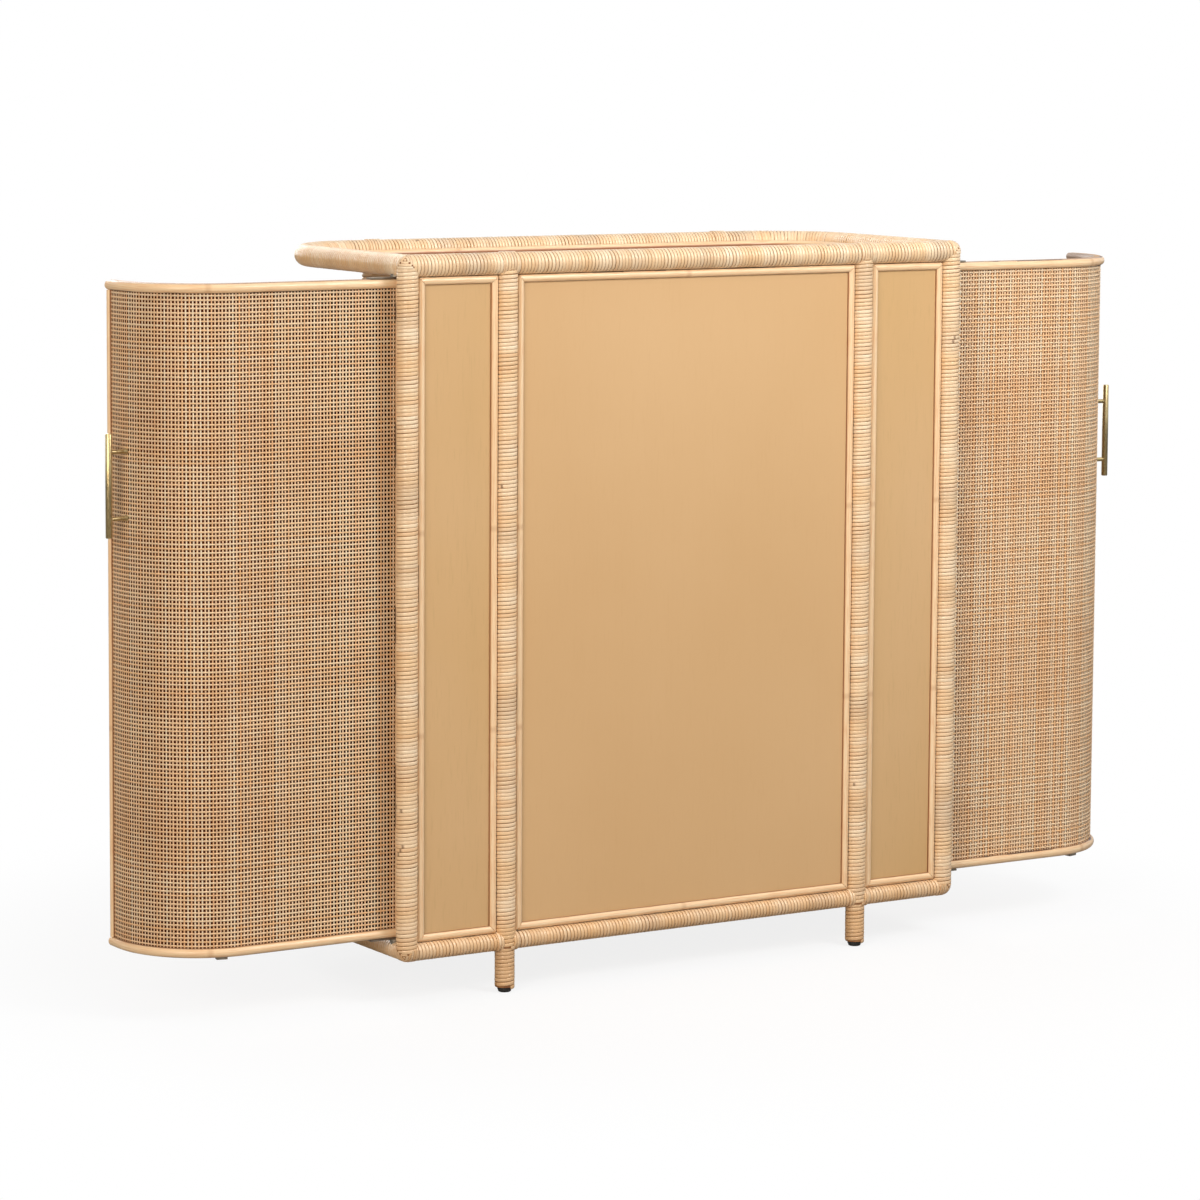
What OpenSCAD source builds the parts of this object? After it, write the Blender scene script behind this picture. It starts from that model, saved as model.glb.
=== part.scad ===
// Rattan bar cabinet: a wrapped pole frame with a raised tray rim, three back
// panels, open shelf bays, and two curved cane doors on pivot pins.
// Origin: on the floor, at the middle of the frame. +Z is up, the open bays face -Y.
// The doors are drawn open, a quarter turn from closed.

/* [Frame] */
// Width between the axes of the back corner posts
frame_w = 971; // [800:1:1300]
// Depth between the axes of the back and front rails
frame_d = 407; // [360:1:520]
// Height over the tray rim
total_h = 1100; // [900:1:1250]
// Height from the floor to the underside of the base rim
foot_h = 63; // [50:1:120]
// Radius of the rims' front corners, on the pole's axis
corner_r = 125; // [110:1:140]
// Length of the doors' straight return from the corner towards the front posts
return_l = 24; // [10:1:60]

/* [Poles] */
// Diameter of the wrapped posts
post_d = 32; // [28:0.5:36]
// Diameter of the wrapped tray rim
rim_d = 33; // [30:0.5:38]
// Diameter of the wrapped base rim
base_d = 27; // [24:0.5:32]
// Diameter of the wrapped feet
foot_d = 30; // [26:0.5:34]
// How far the corner posts run below the base rim
post_drop = 2; // [0.5:0.5:4]
// Diameter of the floor glides
glide_d = 22; // [16:1:25]
// Height of the floor glides
glide_h = 8; // [5:0.5:12]

/* [Boards] */
// Thickness of the top, floor and side boards
board_t = 9; // [6:0.5:11]
// Thickness of the back panels
panel_t = 6; // [4:0.5:9]
// Thickness of the shelves
shelf_t = 12; // [9:0.5:18]
// Width of the half-round beads round the back panels
bead_w = 12; // [8:0.5:16]
// Depth of the tray below the rim's top
tray_depth = 23; // [18:0.5:27]
// Diameter of the bead round the tray's floor
tray_bead_d = 10; // [6:0.5:14]
// Height of the lower shelves' undersides above the floor board
lower_shelf_h = 320; // [200:1:450]
// Height of the upper shelves' undersides above the floor board
upper_shelf_h = 645; // [500:1:740]
// How far the shelves' front edges stand back from the front rail's axis
shelf_setback = 6; // [2:1:30]
// Side of the square battens that carry the shelves
batten = 12; // [8:1:16]

/* [Doors] */
// Thickness of the bent door board
leaf_t = 9; // [6:0.5:12]
// Height of the half-round rails along the door's outer face
rail_h = 14; // [10:0.5:16]
// Height of the half-round trim along the door's inner face
trim_h = 12; // [8:0.5:14]
// Width of the half-round bead down each upright edge
stile_w = 8; // [6:0.5:12]
// Thickness of the cane sheet
cane_t = 1.6; // [1:0.1:2.5]
// Gap between the closed door's free edge and the front post
door_end_gap = 2; // [1:0.5:6]
// How far the door's middle lies outside the rims' axis
door_out = 3; // [1:0.5:4]
// Gap between the corner post and the door's turning edge
post_gap = 1.9; // [0.5:0.1:8]

/* [Pivots] */
// Diameter of the pivot pins
pin_d = 8; // [6:0.5:9]
// Length of the pivot plates
plate_l = 52; // [40:1:80]
// Width of the pivot plates
plate_w = 16; // [14:0.5:18]
// Thickness of the pivot plates
plate_t = 2.5; // [1.5:0.5:5]
// Gap between the upper plate and the tray rim
plate_top_gap = 0.5; // [0.4:0.1:4]
// Gap between the lower plate and the base rim
plate_base_gap = 3.5; // [3:0.1:8]
// Wall of the pivot bushes
bush_wall = 3; // [2:0.5:4]
// How deep the pivot bushes reach into the rims
bush_depth = 12; // [8:0.5:14]

/* [Handles] */
// Distance between the handle's two posts
handle_cc = 96; // [64:1:160]
// How far the bar runs past each post
handle_over = 27; // [10:1:40]
// Diameter of the bar
bar_d = 10; // [8:0.5:14]
// Diameter of the posts
stem_d = 6.5; // [6:0.5:7.5]
// Distance from the cane to the bar's axis
handle_reach = 30; // [24:1:45]
// Distance of the handle from the door's free edge, along the cane
handle_inset = 50; // [30:1:90]
// Height of the handle's middle above the floor
handle_z = 774; // [500:1:800]
// Diameter of the handle screws
screw_d = 4; // [3:0.5:5]

/* [Hidden] */
$fn = 96;
// Distance between two fixed pieces that bear on each other
touch = 0.05;
// Distance between a pole and the piece that is scribed to it
scribe = 0.1;
// Gap between a pivot plate and the bush below or above it
running = 0.3;
// Radial play of a pivot pin in its bush
pin_play = 0.1;
// Overlap that lets one cut break cleanly through a face
bite = 1;
// Height of the shallow saddle where a post stands on a pole
saddle = 1;
// Distance from the rims' axis to the bays' inner line, clear of the closed doors
bay_clear = 4;
// Size of the strike under each door, and of the magnet below it
strike_l = 16;
strike_w = 10;
magnet_d = 10;
magnet_l = 12;
// How far the magnet stands above the base rim, and the air between it and the strike
magnet_up = 1.2;
strike_air = 1.6;
// Angle round the front corner at which the strike sits
strike_turn = 14;
// Angle through which the doors stand open
open_turn = 90;

w2 = frame_w / 2;
d2 = frame_d / 2;
rim_z = total_h - rim_d / 2;
base_z = foot_h + base_d / 2;
floor_top = foot_h + base_d;
rim_under = total_h - rim_d;
tray_z = total_h - tray_depth;
tray_bead_flat = tray_bead_d / 25;
inner_h = tray_z - board_t - floor_top;

// Half the door's whole thickness, from the inner trim to the outer rails
leaf_half = (rail_h / 2 + leaf_t + trim_h / 2) / 2;
// Offsets of the door's faces from the rims' axis, outward
leaf_out = door_out + leaf_half - rail_h / 2;
leaf_in = leaf_out - leaf_t;
cane_out = leaf_out + cane_t;
door_z0 = floor_top + plate_base_gap + plate_t;
door_z1 = rim_under - plate_top_gap - plate_t;
door_h = door_z1 - door_z0;
// The leaf's hinge edge stands this far behind the pivot, and turns within this radius
hinge_over = 5;
turn_r = sqrt(pow(leaf_half, 2) + pow(hinge_over, 2));
pivot_x = w2 + door_out;
pivot_y = d2 - post_d / 2 - post_gap - turn_r;
edge_y = pivot_y + hinge_over;
arc_x = w2 - corner_r;
end_x = arc_x - return_l;
// The middle posts stand where the closed doors end
bay2 = end_x - door_end_gap - post_d / 2;
arc_y = -d2 + corner_r;
flat_l = edge_y - arc_y;
part_x = bay2 + board_t / 2 + touch;
strike_t = door_z0 - floor_top - magnet_up - strike_air;
rail_r = rail_h / 2;
trim_r = trim_h / 2;
stile_r = stile_w / 2;

// The handle stands on the return if it is long enough, and else round the corner
cane_r = corner_r + cane_out;
handle_slide = max(0, return_l - handle_inset);
handle_turn = 90 - max(0, handle_inset - return_l) / cane_r * 180 / PI;
screw_grip = 12;
screw_head_d = 2 * screw_d;
screw_head_t = 2.5;

plate_back = 8;
bush_d = pin_d + 2 * pin_play + 2 * bush_wall;
flange_d = bush_d + 4;
pin_l = bush_depth - 2;

// Colours
wrap_colour = "#dcb682";
peel_colour = "#ecca97";
panel_colour = "#d2a970";
side_panel_colour = "#c4a772";
ply_colour = "#a5753f";
cane_colour = "#c99f68";
brass_colour = "#b9a15c";
steel_colour = "#bfc1bf";
glide_colour = "#262626";

// Poles and rims

// Side +1 is +X, side -1 is -X
module pole_up(x, y, z0, z1, d) {
    translate([x, y, z0])
        cylinder(h = z1 - z0, d = d);
}

// A pole along X at height z
module pole_x(x0, x1, y, z, d) {
    translate([x0, y, z])
        rotate([0, 90, 0])
            cylinder(h = x1 - x0, d = d);
}

// A pole along Y at height z
module pole_y(x, y0, y1, z, d) {
    translate([x, y0, z])
        rotate([-90, 0, 0])
            cylinder(h = y1 - y0, d = d);
}

// The U of a rim: both sides, both front corners and the front rail
module rim_loop(z, d) {
    for (side = [-1, 1])
        pole_y(side * w2, arc_y, d2, z, d);
    for (side = [0, 1])
        mirror([side, 0, 0])
            translate([arc_x, arc_y, z])
                rotate([0, 0, -90])
                    rotate_extrude(angle = 90)
                        translate([corner_r, 0])
                            circle(d = d);
    pole_x(-arc_x, arc_x, -d2, z, d);
}

// Every pole that a board or a post is scribed to, with the scribing gap
module rim_poles(z, d) {
    rim_loop(z, d + 2 * scribe);
    pole_x(-w2, w2, d2, z, d + 2 * scribe);
    for (side = [-1, 1])
        translate([side * w2, d2, z])
            sphere(d = d + 2 * scribe);
}

module post_cuts() {
    for (side = [-1, 1]) {
        pole_up(side * w2, d2, 0, total_h, post_d + 2 * scribe);
        for (y = [-d2, d2])
            pole_up(side * bay2, y, 0, total_h, post_d + 2 * scribe);
    }
}

module corner_post(side) {
    color(wrap_colour)
        difference() {
            pole_up(side * w2, d2, foot_h - post_drop, rim_under + saddle, post_d);
            rim_poles(rim_z, rim_d);
        }
}

module bay_post(side, y) {
    color(wrap_colour)
        difference() {
            pole_up(side * bay2, y, floor_top - saddle, rim_under + saddle, post_d);
            rim_poles(rim_z, rim_d);
            rim_poles(base_z, base_d);
        }
}

module foot(side, y) {
    color(wrap_colour)
        difference() {
            pole_up(side * bay2, y, glide_h, foot_h + saddle, foot_d);
            rim_poles(base_z, base_d);
        }
}

module glides() {
    color(glide_colour)
        for (side = [-1, 1])
            for (y = [-d2, d2])
                translate([side * bay2, y, 0])
                    cylinder(h = glide_h, d = glide_d);
}

// Bores for the bushes, and for the magnets in the base rim
module bush_bores(z0, z1) {
    for (side = [-1, 1])
        pole_up(side * pivot_x, pivot_y, z0, z1, bush_d + 2 * touch);
}

module magnet_place() {
    for (side = [0, 1])
        mirror([side, 0, 0])
            translate([arc_x, arc_y, 0])
                rotate([0, 0, -strike_turn])
                    translate([corner_r, 0, 0])
                        children();
}

module tray_rim_back() {
    color(wrap_colour)
        difference() {
            pole_x(-w2, w2, d2, rim_z, rim_d);
            for (side = [-1, 1]) {
                pole_y(side * w2, arc_y, d2, rim_z, rim_d + 2 * scribe);
                translate([side * w2, d2, rim_z])
                    sphere(d = rim_d + 2 * scribe);
            }
        }
}

module tray_rim_loop() {
    color(wrap_colour)
        difference() {
            union() {
                rim_loop(rim_z, rim_d);
                for (side = [-1, 1])
                    translate([side * w2, d2, rim_z])
                        sphere(d = rim_d);
            }
            bush_bores(rim_under - bite, rim_under + bush_depth + touch);
        }
}

module base_rim_back() {
    color(wrap_colour)
        difference() {
            pole_x(-w2, w2, d2, base_z, base_d);
            for (side = [-1, 1]) {
                pole_y(side * w2, arc_y, d2, base_z, base_d + 2 * scribe);
                pole_up(side * w2, d2, 0, total_h, post_d + 2 * scribe);
            }
        }
}

module base_rim_loop() {
    color(wrap_colour)
        difference() {
            rim_loop(base_z, base_d);
            for (side = [-1, 1])
                pole_up(side * w2, d2, 0, total_h, post_d + 2 * scribe);
            bush_bores(floor_top - bush_depth - touch, floor_top + bite);
            magnet_place()
                translate([0, 0, floor_top - magnet_l - touch])
                    cylinder(h = magnet_l + bite, d = magnet_d + 2 * touch);
        }
}

// Boards

// The frame's plan, drawn in by the given distance from the rims' axis
module plan_shape(inset) {
    translate([-w2 + inset, arc_y])
        square([2 * (w2 - inset), d2 - inset - arc_y]);
    translate([-arc_x, -d2 + inset])
        square([2 * arc_x, corner_r]);
    for (side = [-1, 1])
        translate([side * arc_x, arc_y])
            circle(r = corner_r - inset);
}

// Half the width of a pole at a height dz from its axis
function pole_half(d, dz) = sqrt(pow(d / 2, 2) - pow(dz, 2));

module top_board() {
    color(ply_colour)
        translate([0, 0, tray_z - board_t])
            linear_extrude(board_t)
                plan_shape(pole_half(rim_d, rim_z - tray_z) + scribe);
}

// A bead round the tray's floor, against the rim, with its underside planed flat
module tray_bead() {
    inset = rim_d / 2 + scribe + tray_bead_d / 2;
    z = tray_z + tray_bead_d / 2 - tray_bead_flat;
    color(peel_colour)
        intersection() {
            union() {
                for (side = [-1, 1]) {
                    pole_y(side * (w2 - inset), arc_y, d2 - inset, z, tray_bead_d);
                    translate([side * (w2 - inset), d2 - inset, z])
                        sphere(d = tray_bead_d);
                }
                for (side = [0, 1])
                    mirror([side, 0, 0])
                        translate([arc_x, arc_y, z])
                            rotate([0, 0, -90])
                                rotate_extrude(angle = 90)
                                    translate([corner_r - inset, 0])
                                        circle(d = tray_bead_d);
                pole_x(-arc_x, arc_x, -d2 + inset, z, tray_bead_d);
                pole_x(-w2 + inset, w2 - inset, d2 - inset, z, tray_bead_d);
            }
            translate([-w2, -d2, tray_z])
                cube([frame_w, frame_d, rim_d]);
        }
}

module floor_board() {
    color(ply_colour)
        difference() {
            translate([0, 0, floor_top - board_t])
                linear_extrude(board_t)
                    plan_shape(base_d / 2 + scribe);
            post_cuts();
        }
}

module back_panel(x0, x1, colour) {
    color(colour)
        translate([x0, d2 - panel_t, floor_top + touch])
            cube([x1 - x0, panel_t, rim_under - floor_top - 2 * touch]);
}

// One half-round strip along X from the origin, mitred at both ends, flat side at Y = 0
module bead_strip(l) {
    intersection() {
        translate([0, 0, bead_w / 2])
            rotate([0, 90, 0])
                cylinder(h = l, d = bead_w);
        rotate([90, 0, 0])
            mirror([0, 0, 1])
                linear_extrude(bead_w)
                    polygon([[0, 0], [l, 0], [l - bead_w, bead_w], [bead_w, bead_w]]);
    }
}

module bead_frame(x0, x1) {
    w = x1 - x0;
    h = rim_under - floor_top - 2 * touch;
    color(peel_colour)
        translate([x0 + w / 2, d2, floor_top + touch + h / 2])
            for (turn = [0, 180]) {
                rotate([0, turn, 0])
                    translate([-w / 2, 0, -h / 2])
                        bead_strip(w);
                rotate([0, turn + 90, 0])
                    translate([-h / 2, 0, -w / 2])
                        bead_strip(h);
            }
}

module partition(side) {
    y1 = d2 - post_d / 2 - scribe;
    color(ply_colour)
        translate([side * part_x - board_t / 2, -y1, floor_top])
            cube([board_t, 2 * y1, inner_h]);
}

module centre_shelf(h) {
    half = part_x - board_t / 2;
    color(ply_colour)
        difference() {
            translate([-half, -d2 + shelf_setback, floor_top + h])
                cube([2 * half, frame_d - shelf_setback - panel_t, shelf_t]);
            post_cuts();
        }
}

module side_shelf(side, h) {
    inset = bay_clear + leaf_half - door_out;
    back = d2 - panel_t;
    color(ply_colour)
        difference() {
            translate([0, 0, floor_top + h])
                linear_extrude(shelf_t)
                    mirror([side < 0 ? 1 : 0, 0])
                        difference() {
                            union() {
                                plan_shape(inset);
                                translate([0, d2 - bite - inset])
                                    square([w2 - inset, back - d2 + bite + inset]);
                            }
                            translate([-w2 - bite, -d2 - bite])
                                square([w2 + bite + part_x + board_t / 2, frame_d + 2 * bite]);
                            translate([-w2, back])
                                square([frame_w, frame_d]);
                        }
            post_cuts();
        }
}

// Battens under the shelves, along the partitions' two faces and the side bays' backs
module shelf_battens() {
    y1 = d2 - post_d;
    out_x = part_x + board_t / 2;
    side_w = w2 - post_d - out_x - batten;
    color(ply_colour)
        for (h = [lower_shelf_h, upper_shelf_h])
            for (side = [0, 1])
                mirror([side, 0, 0]) {
                    translate([part_x - board_t / 2 - batten, -y1, floor_top + h - batten])
                        cube([batten, 2 * y1, batten]);
                    translate([out_x, -y1, floor_top + h - batten])
                        cube([batten, 2 * y1, batten]);
                    translate([out_x + batten, d2 - panel_t - batten, floor_top + h - batten])
                        cube([side_w, batten, batten]);
                }
}

// Fixed pivot and catch fittings

module bush(z0, z1, flange_z, closed_z) {
    difference() {
        union() {
            pole_up(0, 0, z0, z1, bush_d);
            pole_up(0, 0, flange_z[0], flange_z[1], flange_d);
        }
        pole_up(0, 0, closed_z[0], closed_z[1], pin_d + 2 * pin_play);
    }
}

module pivot_bushes() {
    low_face = door_z0 - plate_t - running;
    high_face = door_z1 + plate_t + running;
    color(steel_colour)
        for (side = [-1, 1])
            translate([side * pivot_x, pivot_y, 0]) {
                bush(floor_top - bush_depth, low_face,
                    [floor_top + touch, low_face],
                    [floor_top - bush_depth + 1, low_face + bite]);
                bush(high_face, rim_under + bush_depth,
                    [high_face, rim_under - touch],
                    [high_face - bite, rim_under + bush_depth - 1]);
            }
}

module catch_magnets() {
    color(steel_colour)
        magnet_place()
            pole_up(0, 0, floor_top - magnet_l, floor_top + magnet_up, magnet_d);
}

// Doors. Each piece is drawn on the closed +X door, then swung open and mirrored.

module door_place(side) {
    mirror([side < 0 ? 1 : 0, 0, 0])
        translate([pivot_x, pivot_y, 0])
            rotate([0, 0, open_turn])
                translate([-pivot_x, -pivot_y, 0])
                    children();
}

// The door's plan between two offsets from the rims' axis
module leaf_plan(inner, outer) {
    translate([w2 + inner, arc_y])
        square([outer - inner, flat_l]);
    intersection() {
        translate([arc_x, arc_y])
            difference() {
                circle(r = corner_r + outer);
                circle(r = corner_r + inner);
            }
        translate([arc_x, arc_y - 2 * corner_r])
            square(2 * corner_r);
    }
    translate([end_x, -d2 - outer])
        square([return_l, outer - inner]);
}

// A half-round rail along the door's face at the given offset; the sign turns it out or in
module leaf_rail(face, r, z, turn_out) {
    // Straight stretch beside the frame's side
    translate([w2 + face, arc_y, z])
        rotate([-90, 0, 0])
            linear_extrude(flat_l)
                half_disc(r, turn_out);
    // Round the corner
    translate([arc_x, arc_y, z])
        rotate([0, 0, -90])
            rotate_extrude(angle = 90)
                translate([corner_r + face, 0])
                    half_disc(r, turn_out);
    // The return to the front post
    translate([end_x, -d2 - face, z])
        rotate([0, 90, 0])
            linear_extrude(return_l)
                rotate(-90)
                    half_disc(r, turn_out);
}

// Half a disc whose flat side is on the Y axis
module half_disc(r, turn_out) {
    intersection() {
        circle(r = r);
        translate([turn_out > 0 ? 0 : -r, -r])
            square([r, 2 * r]);
    }
}

// Puts a piece whose +X axis is the cane's outward normal where the handle stands
module handle_place() {
    translate([arc_x - handle_slide, arc_y, 0])
        rotate([0, 0, -handle_turn])
            translate([corner_r, 0, 0])
                children();
}

module handle_bores(x0, x1, d) {
    handle_place()
        for (z = [-1, 1])
            translate([x0, 0, handle_z + z * handle_cc / 2])
                rotate([0, 90, 0])
                    cylinder(h = x1 - x0, d = d);
}

module door_leaf(side) {
    color(ply_colour)
        door_place(side)
            difference() {
                translate([0, 0, door_z0])
                    linear_extrude(door_h)
                        leaf_plan(leaf_in, leaf_out);
                handle_bores(leaf_in - bite, leaf_out + bite, screw_d + 2 * scribe);
            }
}

module door_cane(side) {
    color(cane_colour)
        door_place(side)
            difference() {
                translate([0, 0, door_z0 + rail_h])
                    linear_extrude(door_h - 2 * rail_h)
                        difference() {
                            leaf_plan(leaf_out, cane_out);
                            translate([end_x - bite, -d2 - cane_out - bite])
                                square([stile_w + bite, cane_out - leaf_out + 2 * bite]);
                            translate([w2 + leaf_out - bite, edge_y - stile_w])
                                square([cane_t + 2 * bite, stile_w + bite]);
                        }
                handle_bores(leaf_out - bite, cane_out + bite, stem_d + 2 * scribe);
            }
}

module door_rail(side, z) {
    color(peel_colour)
        door_place(side)
            leaf_rail(leaf_out, rail_r, z, 1);
}

module door_free_bead(side) {
    color(peel_colour)
        door_place(side)
            translate([end_x + stile_r, -d2 - leaf_out, door_z0 + rail_h])
                linear_extrude(door_h - 2 * rail_h)
                    rotate(-90)
                        half_disc(stile_r, 1);
}

module door_hinge_bead(side) {
    color(peel_colour)
        door_place(side)
            translate([w2 + leaf_out, edge_y - stile_r, door_z0 + rail_h])
                linear_extrude(door_h - 2 * rail_h)
                    half_disc(stile_r, 1);
}

// Trim along the inner face: top, bottom and the free edge between them
module door_inner_trim(side) {
    color(peel_colour)
        door_place(side) {
            leaf_rail(leaf_in, trim_r, door_z1 - trim_r, -1);
            leaf_rail(leaf_in, trim_r, door_z0 + trim_r, -1);
            translate([end_x + trim_r, -d2 - leaf_in, door_z0 + trim_h])
                linear_extrude(door_h - 2 * trim_h)
                    rotate(-90)
                        half_disc(trim_r, -1);
        }
}

module handle_bar(side) {
    half = handle_cc / 2 + handle_over;
    color(brass_colour)
        door_place(side)
            handle_place()
                translate([cane_out + handle_reach, 0, handle_z - half])
                    cylinder(h = 2 * half, d = bar_d);
}

// The two stems are scribed to the round bar and bored for the screws
module handle_stems(side) {
    color(brass_colour)
        door_place(side)
            difference() {
                handle_bores(leaf_out, cane_out + handle_reach, stem_d);
                handle_bores(leaf_out - bite, leaf_out + screw_grip, screw_d + 2 * touch);
                handle_place()
                    translate([cane_out + handle_reach, 0, 0])
                        cylinder(h = total_h, d = bar_d + 2 * touch);
            }
}

module handle_screws(side) {
    color(steel_colour)
        door_place(side) {
            handle_bores(leaf_in, leaf_out + screw_grip - touch, screw_d);
            handle_bores(leaf_in - screw_head_t, leaf_in - touch, screw_head_d);
        }
}

// Both plates lie flat on the leaf's edges, each with a pin into its bush
module pivot_plates(side) {
    color(steel_colour)
        door_place(side)
            for (top = [0, 1]) {
                face = top == 1 ? door_z1 : door_z0 - plate_t;
                tip = top == 1 ? door_z1 + plate_t : door_z0 - plate_t - pin_l;
                translate([pivot_x - plate_w / 2, pivot_y + plate_back - plate_l, face])
                    cube([plate_w, plate_l, plate_t]);
                pole_up(pivot_x, pivot_y, tip, tip + pin_l, pin_d);
            }
}

module strike(side) {
    color(steel_colour)
        door_place(side)
            translate([arc_x, arc_y, door_z0 - strike_t])
                rotate([0, 0, -strike_turn])
                    translate([corner_r + door_out - strike_w / 2, -strike_l / 2, 0])
                        cube([strike_w, strike_l, strike_t]);
}

side_x0 = bay2 + post_d / 2 + touch;
side_x1 = w2 - post_d / 2 - touch;
centre_x1 = bay2 - post_d / 2 - touch;
rail_z0 = door_z0 + rail_r;
rail_z1 = door_z1 - rail_r;

// Left and right are as seen from the open front, so right is +X
corner_post(-1);  // back_corner_post_left
corner_post(1);  // back_corner_post_right
bay_post(-1, d2);  // back_mid_post_left
bay_post(1, d2);  // back_mid_post_right
bay_post(-1, -d2);  // front_post_left
bay_post(1, -d2);  // front_post_right
tray_rim_back();
tray_rim_loop();
base_rim_back();
base_rim_loop();
foot(-1, d2);  // foot_back_left
foot(1, d2);  // foot_back_right
foot(-1, -d2);  // foot_front_left
foot(1, -d2);  // foot_front_right
glides();
top_board();
tray_bead();
floor_board();
back_panel(-side_x1, -side_x0, side_panel_colour);  // back_panel_left
back_panel(-centre_x1, centre_x1, panel_colour);  // back_panel_centre
back_panel(side_x0, side_x1, side_panel_colour);  // back_panel_right
bead_frame(-side_x1, -side_x0);  // bead_frame_left
bead_frame(-centre_x1, centre_x1);  // bead_frame_centre
bead_frame(side_x0, side_x1);  // bead_frame_right
partition(-1);  // partition_left
partition(1);  // partition_right
centre_shelf(lower_shelf_h);  // centre_shelf_lower
centre_shelf(upper_shelf_h);  // centre_shelf_upper
side_shelf(-1, lower_shelf_h);  // side_shelf_left_lower
side_shelf(-1, upper_shelf_h);  // side_shelf_left_upper
side_shelf(1, lower_shelf_h);  // side_shelf_right_lower
side_shelf(1, upper_shelf_h);  // side_shelf_right_upper
shelf_battens();
pivot_bushes();
catch_magnets();
door_leaf(-1);  // left_door_leaf
door_cane(-1);  // left_door_cane
door_rail(-1, rail_z1);  // left_door_rail_top
door_rail(-1, rail_z0);  // left_door_rail_bottom
door_free_bead(-1);  // left_door_free_bead
door_hinge_bead(-1);  // left_door_hinge_bead
door_inner_trim(-1);  // left_door_inner_trim
handle_bar(-1);  // left_handle_bar
handle_stems(-1);  // left_handle_stems
handle_screws(-1);  // left_handle_screws
pivot_plates(-1);  // left_pivot_plates
strike(-1);  // left_strike
door_leaf(1);  // right_door_leaf
door_cane(1);  // right_door_cane
door_rail(1, rail_z1);  // right_door_rail_top
door_rail(1, rail_z0);  // right_door_rail_bottom
door_free_bead(1);  // right_door_free_bead
door_hinge_bead(1);  // right_door_hinge_bead
door_inner_trim(1);  // right_door_inner_trim
handle_bar(1);  // right_handle_bar
handle_stems(1);  // right_handle_stems
handle_screws(1);  // right_handle_screws
pivot_plates(1);  // right_pivot_plates
strike(1);  // right_strike
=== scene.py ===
# %% [markdown]
# # Rattan bar cabinet
#
# The real cabinet is a frame of rattan poles. Each pole is wound from end to end with a flat strip
# of rattan skin, so its surface is a close row of small round ribs. Three flat panels close the
# back, each held by a mitred half-round bead. The two doors are bent boards, faced with woven cane
# and edged with peeled half-round rattan. We see the cabinet from behind, with both doors open.
#
# The CAD model gives the sizes and the places. Here each piece gets the shape and the finish that
# the eye sees: wound strips, woven strands, grain, lashings and turned brass.

import math

import bmesh
import bpy
import numpy as np
from mathutils import Matrix, Vector


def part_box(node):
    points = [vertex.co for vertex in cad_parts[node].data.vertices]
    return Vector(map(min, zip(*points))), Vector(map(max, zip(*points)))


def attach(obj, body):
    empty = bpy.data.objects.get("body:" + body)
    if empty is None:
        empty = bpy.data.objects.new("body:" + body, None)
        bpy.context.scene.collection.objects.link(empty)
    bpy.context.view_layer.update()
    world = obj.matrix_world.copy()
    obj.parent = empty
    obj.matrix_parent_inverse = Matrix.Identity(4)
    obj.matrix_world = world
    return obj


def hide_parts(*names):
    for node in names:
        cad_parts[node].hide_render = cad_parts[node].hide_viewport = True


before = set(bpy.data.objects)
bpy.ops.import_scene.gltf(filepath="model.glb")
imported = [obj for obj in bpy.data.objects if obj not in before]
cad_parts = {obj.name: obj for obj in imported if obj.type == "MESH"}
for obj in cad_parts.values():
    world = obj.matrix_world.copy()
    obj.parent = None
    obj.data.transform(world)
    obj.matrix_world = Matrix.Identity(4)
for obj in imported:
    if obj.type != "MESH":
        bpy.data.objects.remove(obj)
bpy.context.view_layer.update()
MM = 0.001

# %% [markdown]
# ## Sizes that several pieces share
#
# The places of the poles are read from the CAD boxes, so the dressing follows the model when a size
# changes. A pole's axis is the middle of its box.


# %% Read the places of the poles
def middle(node):
    low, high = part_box(node)
    return (low + high) / 2


def reach(node):
    low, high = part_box(node)
    return high - low


HALF_W, HALF_D = middle("back_corner_post_right").x, middle("back_corner_post_right").y
BAY_X = middle("back_mid_post_right").x
RIM_Z, RIM_D = middle("tray_rim_back").z, reach("tray_rim_back").z
BASE_Z, BASE_D = middle("base_rim_back").z, reach("base_rim_back").z
POST_D, FOOT_D = reach("back_mid_post_right").x, reach("foot_back_right").x
CORNER_R = 125 * MM
ARC_X, ARC_Y = HALF_W - CORNER_R, CORNER_R - HALF_D
print("half width %.4f, half depth %.4f, bay at %.4f" % (HALF_W, HALF_D, BAY_X))
print("tray rim %.4f, base rim %.4f" % (RIM_Z, BASE_Z))

# %% [markdown]
# ## Helpers for colours and nodes
#
# Colours are written as sRGB hex values, as a paint chart gives them, and one function turns them
# to the linear values that Blender computes with. One small function adds any node, in shader trees
# and in geometry trees alike: a value that is itself a node or a socket gets linked, and any other
# value is set. The names below are short for the kinds of node that come up most.


# %% Colour and node helpers
def linear(code):
    parts = [int(code[k : k + 2], 16) / 255 for k in (1, 3, 5)]
    return tuple(c / 12.92 if c <= 0.04045 else ((c + 0.055) / 1.055) ** 2.4 for c in parts) + (1.0,)


def add(tree, kind, inputs=(), **settings):
    """inputs is a dictionary by name or number, or a list in the order of the node's sockets."""
    node = tree.nodes.new(kind)
    for key, value in settings.items():
        setattr(node, key, value)
    for key, value in inputs.items() if isinstance(inputs, dict) else enumerate(inputs):
        if isinstance(key, str):
            socket = next(s for s in node.inputs if s.enabled and s.name == key)
        else:
            socket = node.inputs[key]
        for item in value if isinstance(value, list) else [value]:
            if isinstance(item, bpy.types.Node):
                item = next(s for s in item.outputs if s.enabled)
            if isinstance(item, bpy.types.NodeSocket):
                tree.links.new(item, socket)
            else:
                socket.default_value = item
    return node


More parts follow.
